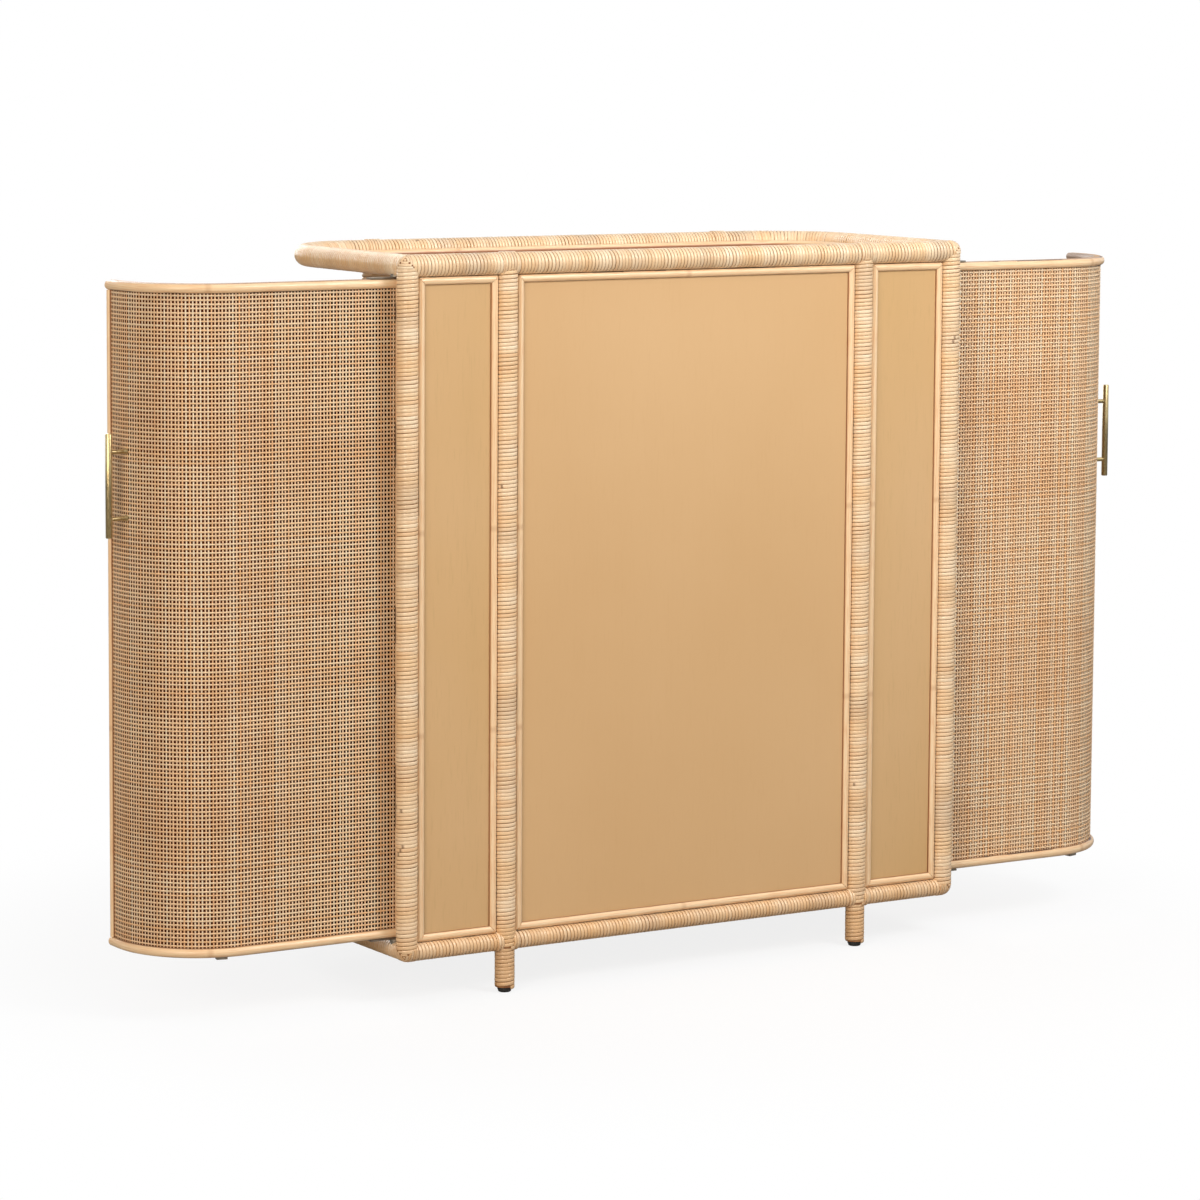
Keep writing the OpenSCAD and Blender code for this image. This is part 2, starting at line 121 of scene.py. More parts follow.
MATH, VECTOR_MATH, RANGE = "ShaderNodeMath", "ShaderNodeVectorMath", "ShaderNodeMapRange"
MIX, NOISE, SPOTS = "ShaderNodeMix", "ShaderNodeTexNoise", "ShaderNodeTexVoronoi"
PLACE, STRETCH, MARK = "ShaderNodeTexCoord", "ShaderNodeMapping", "ShaderNodeAttribute"
SPLIT, JOIN = "ShaderNodeSeparateXYZ", "ShaderNodeCombineXYZ"
MOVE, CIRCLE = "GeometryNodeSetPosition", "GeometryNodeCurvePrimitiveCircle"
STORE, READ = "GeometryNodeStoreNamedAttribute", "GeometryNodeInputNamedAttribute"
print("white is", [round(c, 3) for c in linear("#FFFFFF")])

# %% [markdown]
# ## Materials
#
# A material starts from what the real one is. Most of this cabinet is one plant in three cuts: the
# glossy outer skin in flat strips (the windings and the cane), the peeled core in half-round
# lengths (the beads and rails), and the whole pole under the windings. The boards are plywood and
# veneer. The fittings are brass, zinc-plated steel and black nylon.
#
# Many patterns follow a strip and not the room. The geometry trees below write how far along the
# strip a point lies ("along", in metres), how far across it ("across", from -1 to 1) and which
# strand it is ("strand"), and the materials read those attributes. A pattern that belongs to a board
# reads Object coordinates, drawn out so that the grain runs along the axis with the small factor.


# %% A new material, and how its patterns reach the shader
def material(name, roughness, metallic=0.0, ior=1.5, coat=0.0):
    made = bpy.data.materials.new(name)
    made.use_nodes = True
    inputs = made.node_tree.nodes["Principled BSDF"].inputs
    names = ("Roughness", "Metallic", "IOR", "Coat Weight", "Coat Roughness")
    for key, value in zip(names, (roughness, metallic, ior, coat, 0.16)):
        inputs[key].default_value = value
    return made, made.node_tree


def surface(tree, colour, relief, depth_mm, roughness=None):
    """Links the colour, a relief as bump, and the relief spread between two roughness values."""
    shader = tree.nodes["Principled BSDF"]
    tree.links.new(colour.outputs[2], shader.inputs["Base Color"])
    bump = {"Height": relief, "Strength": 0.7, "Distance": depth_mm * MM}
    raised = add(tree, "ShaderNodeBump", bump)
    tree.links.new(raised.outputs[0], shader.inputs["Normal"])
    if roughness:
        spread = add(tree, RANGE, [relief, 0.3, 0.7, *roughness])
        tree.links.new(spread.outputs[0], shader.inputs["Roughness"])


def tints(tree, base, *layers):
    """Lays each layer's colour over the base where its pattern rises from low to high, at most by
    the share most."""
    tone = linear(base)
    for colour, pattern, low, high, most in layers:
        share = add(tree, RANGE, [pattern, low, high, 0.0, most])
        tone = add(tree, MIX, {"Factor": share, "A": tone, "B": linear(colour)}, data_type="RGBA")
    return tone


def strip_marks(tree):
    names = ("along", "across", "strand")
    return [add(tree, MARK, attribute_name=name).outputs["Fac"] for name in names]


def grain(tree, drawn_out, scale, detail, place=None):
    """Noise that is drawn out along the axis with the small factor."""
    if place is None:
        place = add(tree, PLACE).outputs["Object"]
    spot = add(tree, STRETCH, {"Vector": place, "Scale": drawn_out})
    return add(tree, NOISE, {"Vector": spot, "Scale": scale, "Detail": detail})


# %% [markdown]
# ### Wound rattan skin
#
# Flat strips about 6 mm wide, cut from the skin of the vine and wound while wet. The skin is glossy
# and cream to straw coloured. Its tone drifts along each strip, some groups of turns are pinker and
# some are greyer, and fine fibres run with it. A leaf scar is a short dark mark. Now and then the
# scars of neighbouring turns stand in a column. The edges of a strip are a little darker: partly the
# cut through the skin, partly painted shade in the grooves between strips. Towards the floor, over
# the base rim and the feet, the strips are painted darker and browner as shade, and on the rims'
# right-hand side they are painted darker and yellower as shade.

# %% Material: wound rattan skin
wound_skin, tree = material("wound rattan skin", 0.38, coat=0.25)
along, across, _ = strip_marks(tree)
drift, turns, weather, group = (
    add(tree, NOISE, {"W": along, "Scale": scale, "Detail": detail}, noise_dimensions="1D")
    for scale, detail in ((1.3, 3.0), (9.0, 2.0), (0.45, 2.0), (1.7, 1.0))
)
place = add(tree, PLACE).outputs["Object"]
fibre = add(tree, NOISE, {"Vector": place, "Scale": 420.0, "Detail": 3.0})
# One turn round a pole takes 0.1 m of strip, so scars 0.1 m apart stand in a column
scar = add(tree, SPOTS, {"W": along, "Scale": 10.0, "Randomness": 0.2}, voronoi_dimensions="1D")
scar = add(tree, MATH, [1.0, scar], operation="SUBTRACT")
few = add(tree, RANGE, [group, 0.7, 0.74])
scar = add(tree, MATH, [scar, few], operation="MULTIPLY")
ragged = add(tree, MATH, [fibre, 0.03, scar], operation="MULTIPLY_ADD")
# Darker strip edges: partly the cut through the skin, partly painted shade in the grooves between
# strips
cut_edge_and_groove_shade = add(tree, MATH, [across], operation="ABSOLUTE")
sideways, depth, height = add(tree, SPLIT, [place]).outputs
# The right-hand side of both rims, as far out as their axis and in front of the corner post, is
# painted darker and yellower as shade
painted_shade_side = add(tree, RANGE, [sideways, 0.45, 0.46])
off_post = add(tree, RANGE, [depth, 0.185, 0.15])
painted_shade_side = add(tree, MATH, [painted_shade_side, off_post], operation="MULTIPLY")
tone = tints(
    tree,
    "#F3D2A6",
    ("#F9E4C4", drift, 0.36, 0.66, 1.0),
    ("#E2B382", turns, 0.42, 0.66, 0.4),
    ("#CDB69A", weather, 0.55, 0.68, 0.45),
    ("#6E4A30", ragged, 0.985, 1.01, 0.8),
    ("#9C6536", cut_edge_and_groove_shade, 0.8, 1.0, 0.65),
    ("#D2A473", fibre, 0.4, 0.75, 0.2),
    # Painted shade: darker and browner towards the floor
    ("#D49A56", height, 0.13, 0.04, 0.5),
    ("#CFA468", painted_shade_side, 0.0, 1.0, 0.35),
)
surface(tree, tone, fibre, 0.12, (0.28, 0.42))

# %% Material: the pole under the windings, which shows only in the gaps, painted dark as their shade
gap_shade_core, tree = material("shaded rattan pole", 0.8)
bark = add(tree, NOISE, {"Vector": add(tree, PLACE).outputs["Object"], "Scale": 60.0, "Detail": 3.0})
surface(tree, tints(tree, "#77492A", ("#A37142", bark, 0.3, 0.7, 1.0)), bark, 0.2)

# %% [markdown]
# ### Peeled rattan
#
# The core of the vine, shaved round and split in half. It is cream, with fine pores that show as
# short orange streaks along its length, and a faint darker joint here and there. Along both edges,
# where it meets the board, runs a thin brown line of painted shade, and on the outer side it deepens
# here and there to a dark line of painted shadow. It shines a little more than the strips.

# %% Material: peeled rattan
peeled, tree = material("peeled rattan, lacquered", 0.32, coat=0.05)
along, across, strand = strip_marks(tree)
lengthwise = add(tree, JOIN, [along, across, strand])
streaks = grain(tree, (26, 5, 3), 1.0, 4.0, lengthwise)
cloud = add(tree, NOISE, {"Vector": lengthwise, "Scale": 2.6, "Detail": 2.0})
joint = add(tree, SPOTS, {"W": along, "Scale": 1.9}, voronoi_dimensions="1D")
joint = add(tree, MATH, [1.0, joint], operation="SUBTRACT")
# Painted shade: a thin brown line along both edges, where the bead meets what it lies on
painted_edge_shade = add(tree, MATH, [across], operation="ABSOLUTE")
# Painted shadow: here and there a dark line on the outer edge
shadow_patches = add(tree, RANGE, [grain(tree, (8, 0, 3), 1.0, 2.0, lengthwise), 0.43, 0.53])
painted_slit_shadow = add(tree, MATH, [across, -1.0], operation="MULTIPLY")
painted_slit_shadow = add(tree, MATH, [painted_slit_shadow, shadow_patches], operation="MULTIPLY")
tone = tints(
    tree,
    "#F0CB9E",
    ("#F8DEB8", cloud, 0.35, 0.65, 1.0),
    ("#DC9C66", streaks, 0.48, 0.72, 0.6),
    ("#C08C5A", joint, 0.988, 0.997, 0.35),
    ("#84481F", painted_edge_shade, 0.82, 0.96, 0.88),
    ("#4A2416", painted_slit_shadow, 0.74, 0.9, 0.9),
)
surface(tree, tone, streaks, 0.12, (0.28, 0.42))

# %% Material: the trims inside the doors, peeled rattan painted grey as shade
painted_shade_grey, tree = material("peeled rattan, greyed", 0.45)
along, across, _ = strip_marks(tree)
streaks = grain(tree, (26, 5, 3), 1.0, 4.0, add(tree, JOIN, [along, across]))
surface(tree, tints(tree, "#B9A392", ("#988476", streaks, 0.35, 0.7, 1.0)), streaks, 0.12)

# %% [markdown]
# ### Cane strands
#
# Narrower strips of the same skin, woven over and under. Each strand has its own tone. The upright
# ones differ more, and the palest of them stand out as cream lines. Where the sheet was cut from
# older vine, whole groups of strands are browner.

# %% Materials: woven cane
def cane(name, dark, pale, group_share):
    made, tree = material(name, 0.5)
    along, _, strand = strip_marks(tree)
    own = add(tree, "ShaderNodeTexWhiteNoise", {"W": strand}, noise_dimensions="1D")
    group = add(tree, NOISE, {"W": strand, "Scale": 0.16, "Detail": 2.0}, noise_dimensions="1D")
    patch = grain(tree, (0.6, 0.6, 1.5), 7.0, 3.0)
    on_strand = add(tree, JOIN, [along, strand])
    speck = add(tree, NOISE, {"Vector": on_strand, "Scale": 30.0, "Detail": 2.0})
    tone = tints(
        tree,
        dark,
        (pale, own, 0.0, 1.0, 1.0),
        ("#E6A468", group, 0.5, 0.68, group_share),
        ("#E0A062", patch, 0.5, 0.7, 0.25),
        ("#B8703E", speck, 0.6, 0.75, 0.4),
    )
    surface(tree, tone, speck, 0.1)
    return made


cane_level = cane("woven cane, level strands", "#FBCE9A", "#FFE5C0", 0.2)
cane_upright = cane("woven cane, upright strands", "#FAC996", "#FFF0D4", 0.4)

# %% [markdown]
# ### Boards
#
# The door board is stained dark on the face behind the cane, so the holes of the weave read as
# small brown squares. The left door's board is lighter, and the right door's board is darker towards
# its hinge. The other face and all inner boards are clear plywood: long soft grain on the faces, and a
# sandwich of dark and light plies on the edges. A ply is 1.5 mm thick, drawn as it is.

# %% Materials: stained board faces
stained = {}
for side, dark, light, near_hinge in (
    ("right", "#481E0C", "#5E2E16", 1.0),
    ("left", "#7E4C28", "#8E5A34", 0.0),
):
    stained[side], tree = material("stained board face, %s door" % side, 0.9)
    tree.nodes["Principled BSDF"].inputs["Specular IOR Level"].default_value = 0.1
    figure = grain(tree, (8, 8, 0.6), 9.0, 4.0)
    from_hinge = add(tree, SPLIT, [add(tree, PLACE).outputs["Object"]]).outputs[0]
    layers = [(light, figure, 0.3, 0.7, 1.0), ("#220804", from_hinge, 0.8, 0.52, near_hinge)]
    surface(tree, tints(tree, dark, *layers), figure, 0.1)


# %% Materials: plywood, with its plies on the edges
def plywood(name, drawn_out, light, dark, ply_mm=1.5, ply_axis=2, ply_attribute=None):
    made, tree = material(name, 0.55)
    figure, pores = grain(tree, drawn_out, 5.0, 5.0), grain(tree, drawn_out, 60.0, 2.0)
    if ply_attribute:
        level = add(tree, MARK, attribute_name=ply_attribute).outputs["Fac"]
        edge_on = 1.0
    else:
        place = add(tree, PLACE).outputs
        level = add(tree, SPLIT, [place["Object"]]).outputs[ply_axis]
        facing = add(tree, SPLIT, [place["Normal"]]).outputs[ply_axis]
        facing = add(tree, MATH, [facing], operation="ABSOLUTE")
        edge_on = add(tree, MATH, [facing, 0.5], operation="LESS_THAN")
    layer = add(tree, MATH, [level, 0.5 / (ply_mm * MM)], operation="MULTIPLY")
    layer = add(tree, MATH, [layer], operation="FRACT")
    layer = add(tree, MATH, [layer, 0.5], operation="GREATER_THAN")
    layer = add(tree, MATH, [layer, edge_on], operation="MULTIPLY")
    tone = tints(
        tree,
        light,
        (dark, figure, 0.3, 0.7, 1.0),
        ("#B5854F", pores, 0.55, 0.8, 0.35),
        ("#8E6238", layer, 0.0, 1.0, 0.55),
    )
    surface(tree, tone, pores, 0.1)
    return made


ply_level = plywood("plywood, lying flat", (0.5, 9, 9), "#E3C296", "#C9A070")
ply_upright = plywood("plywood, standing", (9, 9, 0.5), "#E3C296", "#C9A070", ply_axis=0)
batten_wood = plywood("planed batten", (9, 0.5, 9), "#DDB98C", "#C39A68", ply_mm=60)
ply_bent = plywood("bent plywood", (9, 9, 0.5), "#DDBB92", "#C39B70", ply_attribute="depth")

# %% [markdown]
# ### Back panels
#
# Thin veneered boards with a flat lacquer. The middle one is warm tan and nearly plain. The narrow
# ones are cut from another veneer, a little greener, with short upright pores. The pores are 0.3 mm
# wide on the real board and are drawn 2 mm wide, so that they show in the picture at all.


# %% Materials: veneered back panels
def veneer(name, light, dark, pore, most):
    made, tree = material(name, 0.5, ior=1.45)
    place = add(tree, PLACE).outputs["Object"]
    cloud = add(tree, NOISE, {"Vector": place, "Scale": 1.6, "Detail": 3.0})
    figure, pores = grain(tree, (42, 42, 2.7), 1.0, 4.0), grain(tree, (430, 430, 30), 1.0, 2.0)
    tone = tints(
        tree,
        light,
        (dark, cloud, 0.3, 0.7, 1.0),
        (pore, figure, 0.45, 0.8, most / 2),
        (pore, pores, 0.58, 0.72, most),
    )
    surface(tree, tone, pores, 0.06)
    return made


panel_centre = veneer("tan veneer panel", "#D8B384", "#D1AA79", "#BC8D5B", 0.06)
panel_side = veneer("pale green-tan veneer panel", "#D5B183", "#CDA771", "#AC8E5C", 0.14)

# %% [markdown]
# ### Fittings
#
# Satin brass has a fine lengthwise brushing that widens its highlight, and a metal's colour is
# painted paler where we look along its surface, as a painted reflection. Zinc plating is a greyer
# metal with faint crystal patches. The glides under the feet are moulded black nylon, matt, with a
# fine grit.

# %% Materials: satin brass, zinc-plated steel, black nylon
for name, low, high, rim, scale, spread in (
    ("satin brass", "#A8946A", "#C2B084", "#F4EAD0", (1200, 1200, 160), (0.24, 0.36)),
    ("zinc-plated steel", "#787166", "#958D80", "#A39C90", (140, 140, 140), (0.45, 0.6)),
):
    made, tree = material(name, 0.35, metallic=1.0)
    brushed = grain(tree, scale, 1.0, 2.0)
    # Painted reflection: towards grazing view angles the colour turns to the paler rim tone
    grazing_reflection_mask = add(tree, "ShaderNodeLayerWeight", {"Blend": 0.5}).outputs["Facing"]
    tone = tints(tree, low, (high, brushed, 0.3, 0.7, 1.0), (rim, grazing_reflection_mask, 0.3, 0.75, 0.8))
    surface(tree, tone, brushed, 0.01, spread)
brass, zinc = bpy.data.materials["satin brass"], bpy.data.materials["zinc-plated steel"]
nylon, tree = material("black nylon glide", 0.55)
grit = add(tree, NOISE, {"Vector": add(tree, PLACE).outputs["Object"], "Scale": 500.0, "Detail": 2.0})
surface(tree, tints(tree, "#1C1C1C", ("#303030", grit, 0.3, 0.7, 1.0)), grit, 0.1)
print("materials:", len(bpy.data.materials))

# %% [markdown]
# ## Geometry trees
#
# A strip that lies on a surface is a curve swept with a flat section. Besides its path it needs
# to know which way is out, so that it lies flat: each path carries a vector "out" on its points.
# The section is a flat hexagon, whose flat faces take two thirds of the width. Smooth shading
# rounds it, and its sloping sides leave the thin dark groove between neighbours.
#
# `lay_strip` does this for any path. `wind_pole` first turns the axis of a pole into the long
# helix of the winding and then lays the strip along it. A helix of real strips was chosen over a
# ribbed tube, because the strips then slant, bunch on the inside of a bend and open on its outside,
# as real ones do. `lay_bead` sweeps a half-round section for the peeled rattan, and `weave` bends
# each strand over and under before it sweeps it.


# %% A tree with named inputs, and the steps that the trees share
def geometry_tree(name, **sockets):
    """sockets gives, for each kind, the names of its inputs. Every tree starts from a path: the
    curve that it makes of the path's edges and the length along it come back with the inputs."""
    tree = bpy.data.node_groups.new(name, "GeometryNodeTree")
    tree.interface.new_socket("Geometry", in_out="INPUT", socket_type="NodeSocketGeometry")
    for kind, titles in sockets.items():
        for title in titles.split():
            tree.interface.new_socket(title, in_out="INPUT", socket_type="NodeSocket" + kind)
    tree.interface.new_socket("Geometry", in_out="OUTPUT", socket_type="NodeSocketGeometry")
    given = add(tree, "NodeGroupInput").outputs
    path = add(tree, "GeometryNodeMeshToCurve", {"Mesh": given["Geometry"]})
    return tree, given, path, add(tree, "GeometryNodeSplineParameter").outputs["Length"]


def lift(tree, path, height, slide=None):
    """Moves each point of a path outwards by a height, and by a vector of its own."""
    out = add(tree, READ, {"Name": "out"}, data_type="FLOAT_VECTOR")
    move = add(tree, VECTOR_MATH, {0: out, "Scale": height}, operation="SCALE")
    if slide:
        move = add(tree, VECTOR_MATH, [move, slide], operation="ADD")
    return add(tree, MOVE, {"Geometry": path, "Offset": move})


def sweep(tree, path, section, scale=None):
    """Sweeps a section along a path that carries "out". The section's X points out, its Y across."""
    out = add(tree, READ, {"Name": "out"}, data_type="FLOAT_VECTOR")
    path = add(tree, "GeometryNodeSetCurveNormal", {"Curve": path, "Normal": out}, mode="FREE")
    ends = {"Curve": path, "Profile Curve": section, "Fill Caps": True}
    swept = add(tree, "GeometryNodeCurveToMesh", ends)
    if scale:
        tree.links.new(next(s for s in scale.outputs if s.enabled), swept.inputs["Scale"])
    return add(tree, "GeometryNodeSetShadeSmooth", {"Geometry": swept, "Shade Smooth": True})


def close_tree(tree, geometry, skin, core=None):
    real = add(tree, "GeometryNodeRealizeInstances", {"Geometry": geometry})
    made = add(tree, "GeometryNodeSetMaterial", {"Geometry": real, "Material": skin})
    if core:
        inner = add(tree, READ, {"Name": "inner"}, data_type="BOOLEAN")
        chosen = {"Geometry": made, "Selection": inner, "Material": core}
        made = add(tree, "GeometryNodeSetMaterial", chosen)
    add(tree, "NodeGroupOutput", {"Geometry": made})
    print("tree", tree.name, "has", len(tree.nodes), "nodes")


# %% The flat section of a strip
def flat_section(tree, width, thickness, sides=6):
    section = add(tree, CIRCLE, {"Resolution": sides, "Radius": 1.0})
    if sides == 6:
        turn = (0, 0, math.radians(30))
        section = add(tree, "GeometryNodeTransform", {"Geometry": section, "Rotation": turn})
    out, side, _ = add(tree, SPLIT, [add(tree, "GeometryNodeInputPosition")]).outputs
    # The corners that stand high move towards the sides, which widens the flat faces
    spread = add(tree, MATH, [out], operation="ABSOLUTE")
    spread = add(tree, MATH, [spread, 0.4, 1.0], operation="MULTIPLY_ADD")
    side = add(tree, MATH, [side, spread], operation="MULTIPLY")
    stored = {"Geometry": section, "Name": "across", "Value": side}
    section = add(tree, STORE, stored, data_type="FLOAT")
    flat = 0.5 / math.cos(math.radians(30)) if sides == 6 else 0.5
    high = add(tree, MATH, [thickness, flat], operation="MULTIPLY")
    high = add(tree, MATH, [high, out], operation="MULTIPLY")
    across = add(tree, READ, {"Name": "across"}, data_type="FLOAT")
    wide = add(tree, MATH, [width, 0.5], operation="MULTIPLY")
    wide = add(tree, MATH, [wide, across], operation="MULTIPLY")
    return add(tree, MOVE, {"Geometry": section, "Position": add(tree, JOIN, [high, wide])})


# %% Tree: lay a strip along a path
lay_strip, given, path, length = geometry_tree(
    "lay_strip", Float="Width Thickness Offset", Material="Skin"
)
strand = add(lay_strip, READ, {"Name": "strand"}, data_type="FLOAT")
# Each strip starts at another place of the grain
along = add(lay_strip, MATH, [strand, 0.731, length], operation="MULTIPLY_ADD")
path = add(lay_strip, STORE, {"Geometry": path, "Name": "along", "Value": along}, data_type="FLOAT")
section = flat_section(lay_strip, given["Width"], given["Thickness"])
strip = sweep(lay_strip, lift(lay_strip, path, given["Offset"]), section)
close_tree(lay_strip, strip, given["Skin"])

# %% Tree: wind a strip round a pole
# The share of its pitch that a strip covers, and how many strips deep the pole's own surface lies
COVER, SUNK = 0.965, 0.65
tree, given, axis, length = geometry_tree(
    "wind_pole", Float="Radius Pitch Thickness Seed", Int="Steps", Material="Skin Core"
)
wind_pole, radius, pitch, thickness = tree, given["Radius"], given["Pitch"], given["Thickness"]
total = add(tree, "GeometryNodeCurveLength", {"Curve": axis})
turns = add(tree, MATH, [total, pitch], operation="DIVIDE")
count = add(tree, MATH, [turns, given["Steps"]], operation="MULTIPLY")
fine = add(tree, "GeometryNodeResampleCurve", {"Curve": axis, "Count": count})
# A hand-wound strip never keeps quite the same pitch: it wanders by about half a turn
wander = add(tree, MATH, [length, given["Seed"]])
wander = add(tree, NOISE, {"W": wander, "Scale": 22.0, "Detail": 1.0}, noise_dimensions="1D")
turn = add(tree, MATH, [length, pitch], operation="DIVIDE")
turn = add(tree, MATH, [wander, 0.55, turn], operation="MULTIPLY_ADD")
angle = add(tree, MATH, [turn, 2 * math.pi], operation="MULTIPLY")
normal, tangent = (add(tree, "GeometryNodeInput" + way) for way in ("Normal", "Tangent"))
around = {"Vector": normal, "Axis": tangent, "Angle": angle}
out = add(tree, "ShaderNodeVectorRotate", around, rotation_type="AXIS_ANGLE")
fine = add(tree, STORE, {"Geometry": fine, "Name": "out", "Value": out}, data_type="FLOAT_VECTOR")
# One turn of strip is as long as the way round the pole
run = add(tree, MATH, [angle, radius], operation="MULTIPLY")
run = add(tree, MATH, [given["Seed"], 5.37, run], operation="MULTIPLY_ADD")
fine = add(tree, STORE, {"Geometry": fine, "Name": "along", "Value": run}, data_type="FLOAT")
middle_r = add(tree, MATH, [thickness, -0.5, radius], operation="MULTIPLY_ADD")
width = add(tree, MATH, [pitch, COVER], operation="MULTIPLY")
strip = sweep(tree, lift(tree, fine, middle_r), flat_section(tree, width, thickness))
core_r = add(tree, MATH, [thickness, -SUNK, radius], operation="MULTIPLY_ADD")
ring = add(tree, CIRCLE, {"Resolution": 24, "Radius": core_r})
coarse = add(tree, "GeometryNodeResampleCurve", {"Curve": axis, "Count": 120})
ends = {"Curve": coarse, "Profile Curve": ring, "Fill Caps": True}
core = add(tree, "GeometryNodeCurveToMesh", ends)
core = add(tree, "GeometryNodeSetShadeSmooth", {"Geometry": core, "Shade Smooth": True})
core = add(tree, STORE, {"Geometry": core, "Name": "inner", "Value": True}, data_type="BOOLEAN")
both = add(tree, "GeometryNodeJoinGeometry", {"Geometry": [core, strip]})
close_tree(tree, both, given["Skin"], given["Core"])

# %% Tree: lay a half-round bead along a path
tree, given, path, length = geometry_tree("lay_bead", Float="Width Height", Material="Skin")
lay_bead = tree
path = add(tree, STORE, {"Geometry": path, "Name": "along", "Value": length}, data_type="FLOAT")
circle = add(tree, CIRCLE, {"Resolution": 24, "Radius": 1.0})
out, side, _ = add(tree, SPLIT, [add(tree, "GeometryNodeInputPosition")]).outputs
circle = add(tree, STORE, {"Geometry": circle, "Name": "across", "Value": side}, data_type="FLOAT")
half = add(tree, MATH, [given["Width"], 0.5], operation="MULTIPLY")
# The lower half of the circle is pressed flat, a hair inside the surface that the bead lies on
tall = add(tree, MATH, [out, given["Height"]], operation="MULTIPLY")
tall = add(tree, MATH, [tall, -0.1 * MM], operation="MAXIMUM")
wide = add(tree, MATH, [side, half], operation="MULTIPLY")
circle = add(tree, MOVE, {"Geometry": circle, "Position": add(tree, JOIN, [tall, wide])})
close_tree(tree, sweep(tree, path, circle), given["Skin"])

# %% Tree: weave strands over and under
tree, given, path, length = geometry_tree(
    "weave", Float="Width Thickness Swing Phase", Int="Seed", Material="Skin"
)
weave = tree
strand, step = (add(tree, READ, {"Name": name}, data_type="FLOAT") for name in ("strand", "step"))
path = add(tree, STORE, {"Geometry": path, "Name": "along", "Value": length}, data_type="FLOAT")
# Two steps make one crossing, and neighbours go over where this strand goes under
half_turns = add(tree, MATH, [strand, given["Phase"]])
half_turns = add(tree, MATH, [step, 0.5, half_turns], operation="MULTIPLY_ADD")
wave = add(tree, MATH, [half_turns, math.pi], operation="MULTIPLY")
wave = add(tree, MATH, [wave], operation="COSINE")
wave = add(tree, MATH, [wave, given["Swing"]], operation="MULTIPLY")
# Each strand lies a little to one side and has its own width
own = {"ID": add(tree, MATH, [strand], operation="ROUND"), "Seed": given["Seed"]}
shift, fat = (
    add(tree, "FunctionNodeRandomValue", dict(own, Min=low, Max=high), data_type="FLOAT")
    for low, high in ((-0.3 * MM, 0.3 * MM), (0.9, 1.06))
)
out = add(tree, READ, {"Name": "out"}, data_type="FLOAT_VECTOR")
tangent = add(tree, "GeometryNodeInputTangent")
slide = add(tree, VECTOR_MATH, [out, tangent], operation="CROSS_PRODUCT")
slide = add(tree, VECTOR_MATH, {0: slide, "Scale": shift}, operation="SCALE")
section = flat_section(tree, given["Width"], given["Thickness"], 4)
close_tree(tree, sweep(tree, lift(tree, path, wave, slide), section, fat), given["Skin"])

# %% [markdown]
# ## From a path to a finished piece
#
# `polyline` makes paths as a mesh of edges with their "out" vectors. `grow` puts a tree on it,
# takes the evaluated result as a plain mesh and throws the path away. `fuse` makes one mesh of
# several, and `solid` makes one from points and faces. `finish_piece` hangs a mesh on its CAD body
# and hides the CAD nodes that it stands for.


# %% Path, grow, fuse, finish and solid
def place_object(name, data):
    made = bpy.data.objects.new(name, data)
    bpy.context.scene.collection.objects.link(made)
    return made


def mark(mesh, **lists):
    """Writes a number or a vector on each point of a mesh, under a name."""
    for name, values in lists.items():
        values = np.array(values, np.float32)
        kind, field = ("FLOAT_VECTOR", "vector") if values.ndim == 2 else ("FLOAT", "value")
        mesh.attributes.new(name, kind, "POINT").data.foreach_set(field, values.ravel())


def polyline(lines, closed=False):
    """lines is a list of (points, outs). Each becomes a chain of edges, and its number its strand."""
    points, outs, strands, steps, edges = [], [], [], [], []
    for number, (line, normals) in enumerate(lines):
        first, count = len(points), len(line)
        edges += [(first + k, first + k + 1) for k in range(count - 1)]
        if closed:
            edges.append((first + count - 1, first))
        points += line
        outs += normals
        strands += [number] * count
        steps += range(count)
    mesh = bpy.data.meshes.new("path")
    mesh.from_pydata(points, edges, [])
    mark(mesh, out=outs, strand=strands, step=steps)
    return place_object("path", mesh)


def grow(path, tree, values):
    modifier = path.modifiers.new("grow", "NODES")
    modifier.node_group = tree
    for item in tree.interface.items_tree:
        if item.in_out == "INPUT" and item.name in values:
            modifier[item.identifier] = values[item.name]
    graph = bpy.context.evaluated_depsgraph_get()
    grown = path.evaluated_get(graph)
    mesh = bpy.data.meshes.new_from_object(grown, preserve_all_data_layers=True, depsgraph=graph)
    bpy.data.objects.remove(path)
    return mesh


def fuse(meshes):
    parts = [place_object("part", mesh) for mesh in meshes]
    with bpy.context.temp_override(active_object=parts[0], selected_editable_objects=parts):
        bpy.ops.object.join()
    mesh = parts[0].data
    bpy.data.objects.remove(parts[0])
    return mesh


def finish_piece(name, mesh, body, slot, *nodes):
    made = place_object(name, mesh)
    mesh.name = name
    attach(made, body)
    if nodes:
        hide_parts(*nodes)
    mesh.calc_loop_triangles()
    spots = np.zeros(len(mesh.vertices) * 3, np.float32)
    mesh.vertices.foreach_get("co", spots)
    size = np.ptp(spots.reshape(-1, 3), axis=0) * 1000
    print("%s: %d triangles, %s mm" % (name, len(mesh.loop_triangles), np.round(size, 1)))
    return made


def solid(spots, faces, skins, sharp_degrees, **marks):
    """A mesh with every face turned outwards, and with only its real edges sharp."""
    mesh = bpy.data.meshes.new("solid")
    mesh.from_pydata(spots, [], faces)
    mark(mesh, **marks)
    for skin in skins:
        mesh.materials.append(skin)
    work = bmesh.new()
    work.from_mesh(mesh)
    bmesh.ops.recalc_face_normals(work, faces=work.faces)
    work.to_mesh(mesh)
    work.free()
    mesh.shade_smooth()
    mesh.set_sharp_from_angle(angle=math.radians(sharp_degrees))
    return mesh


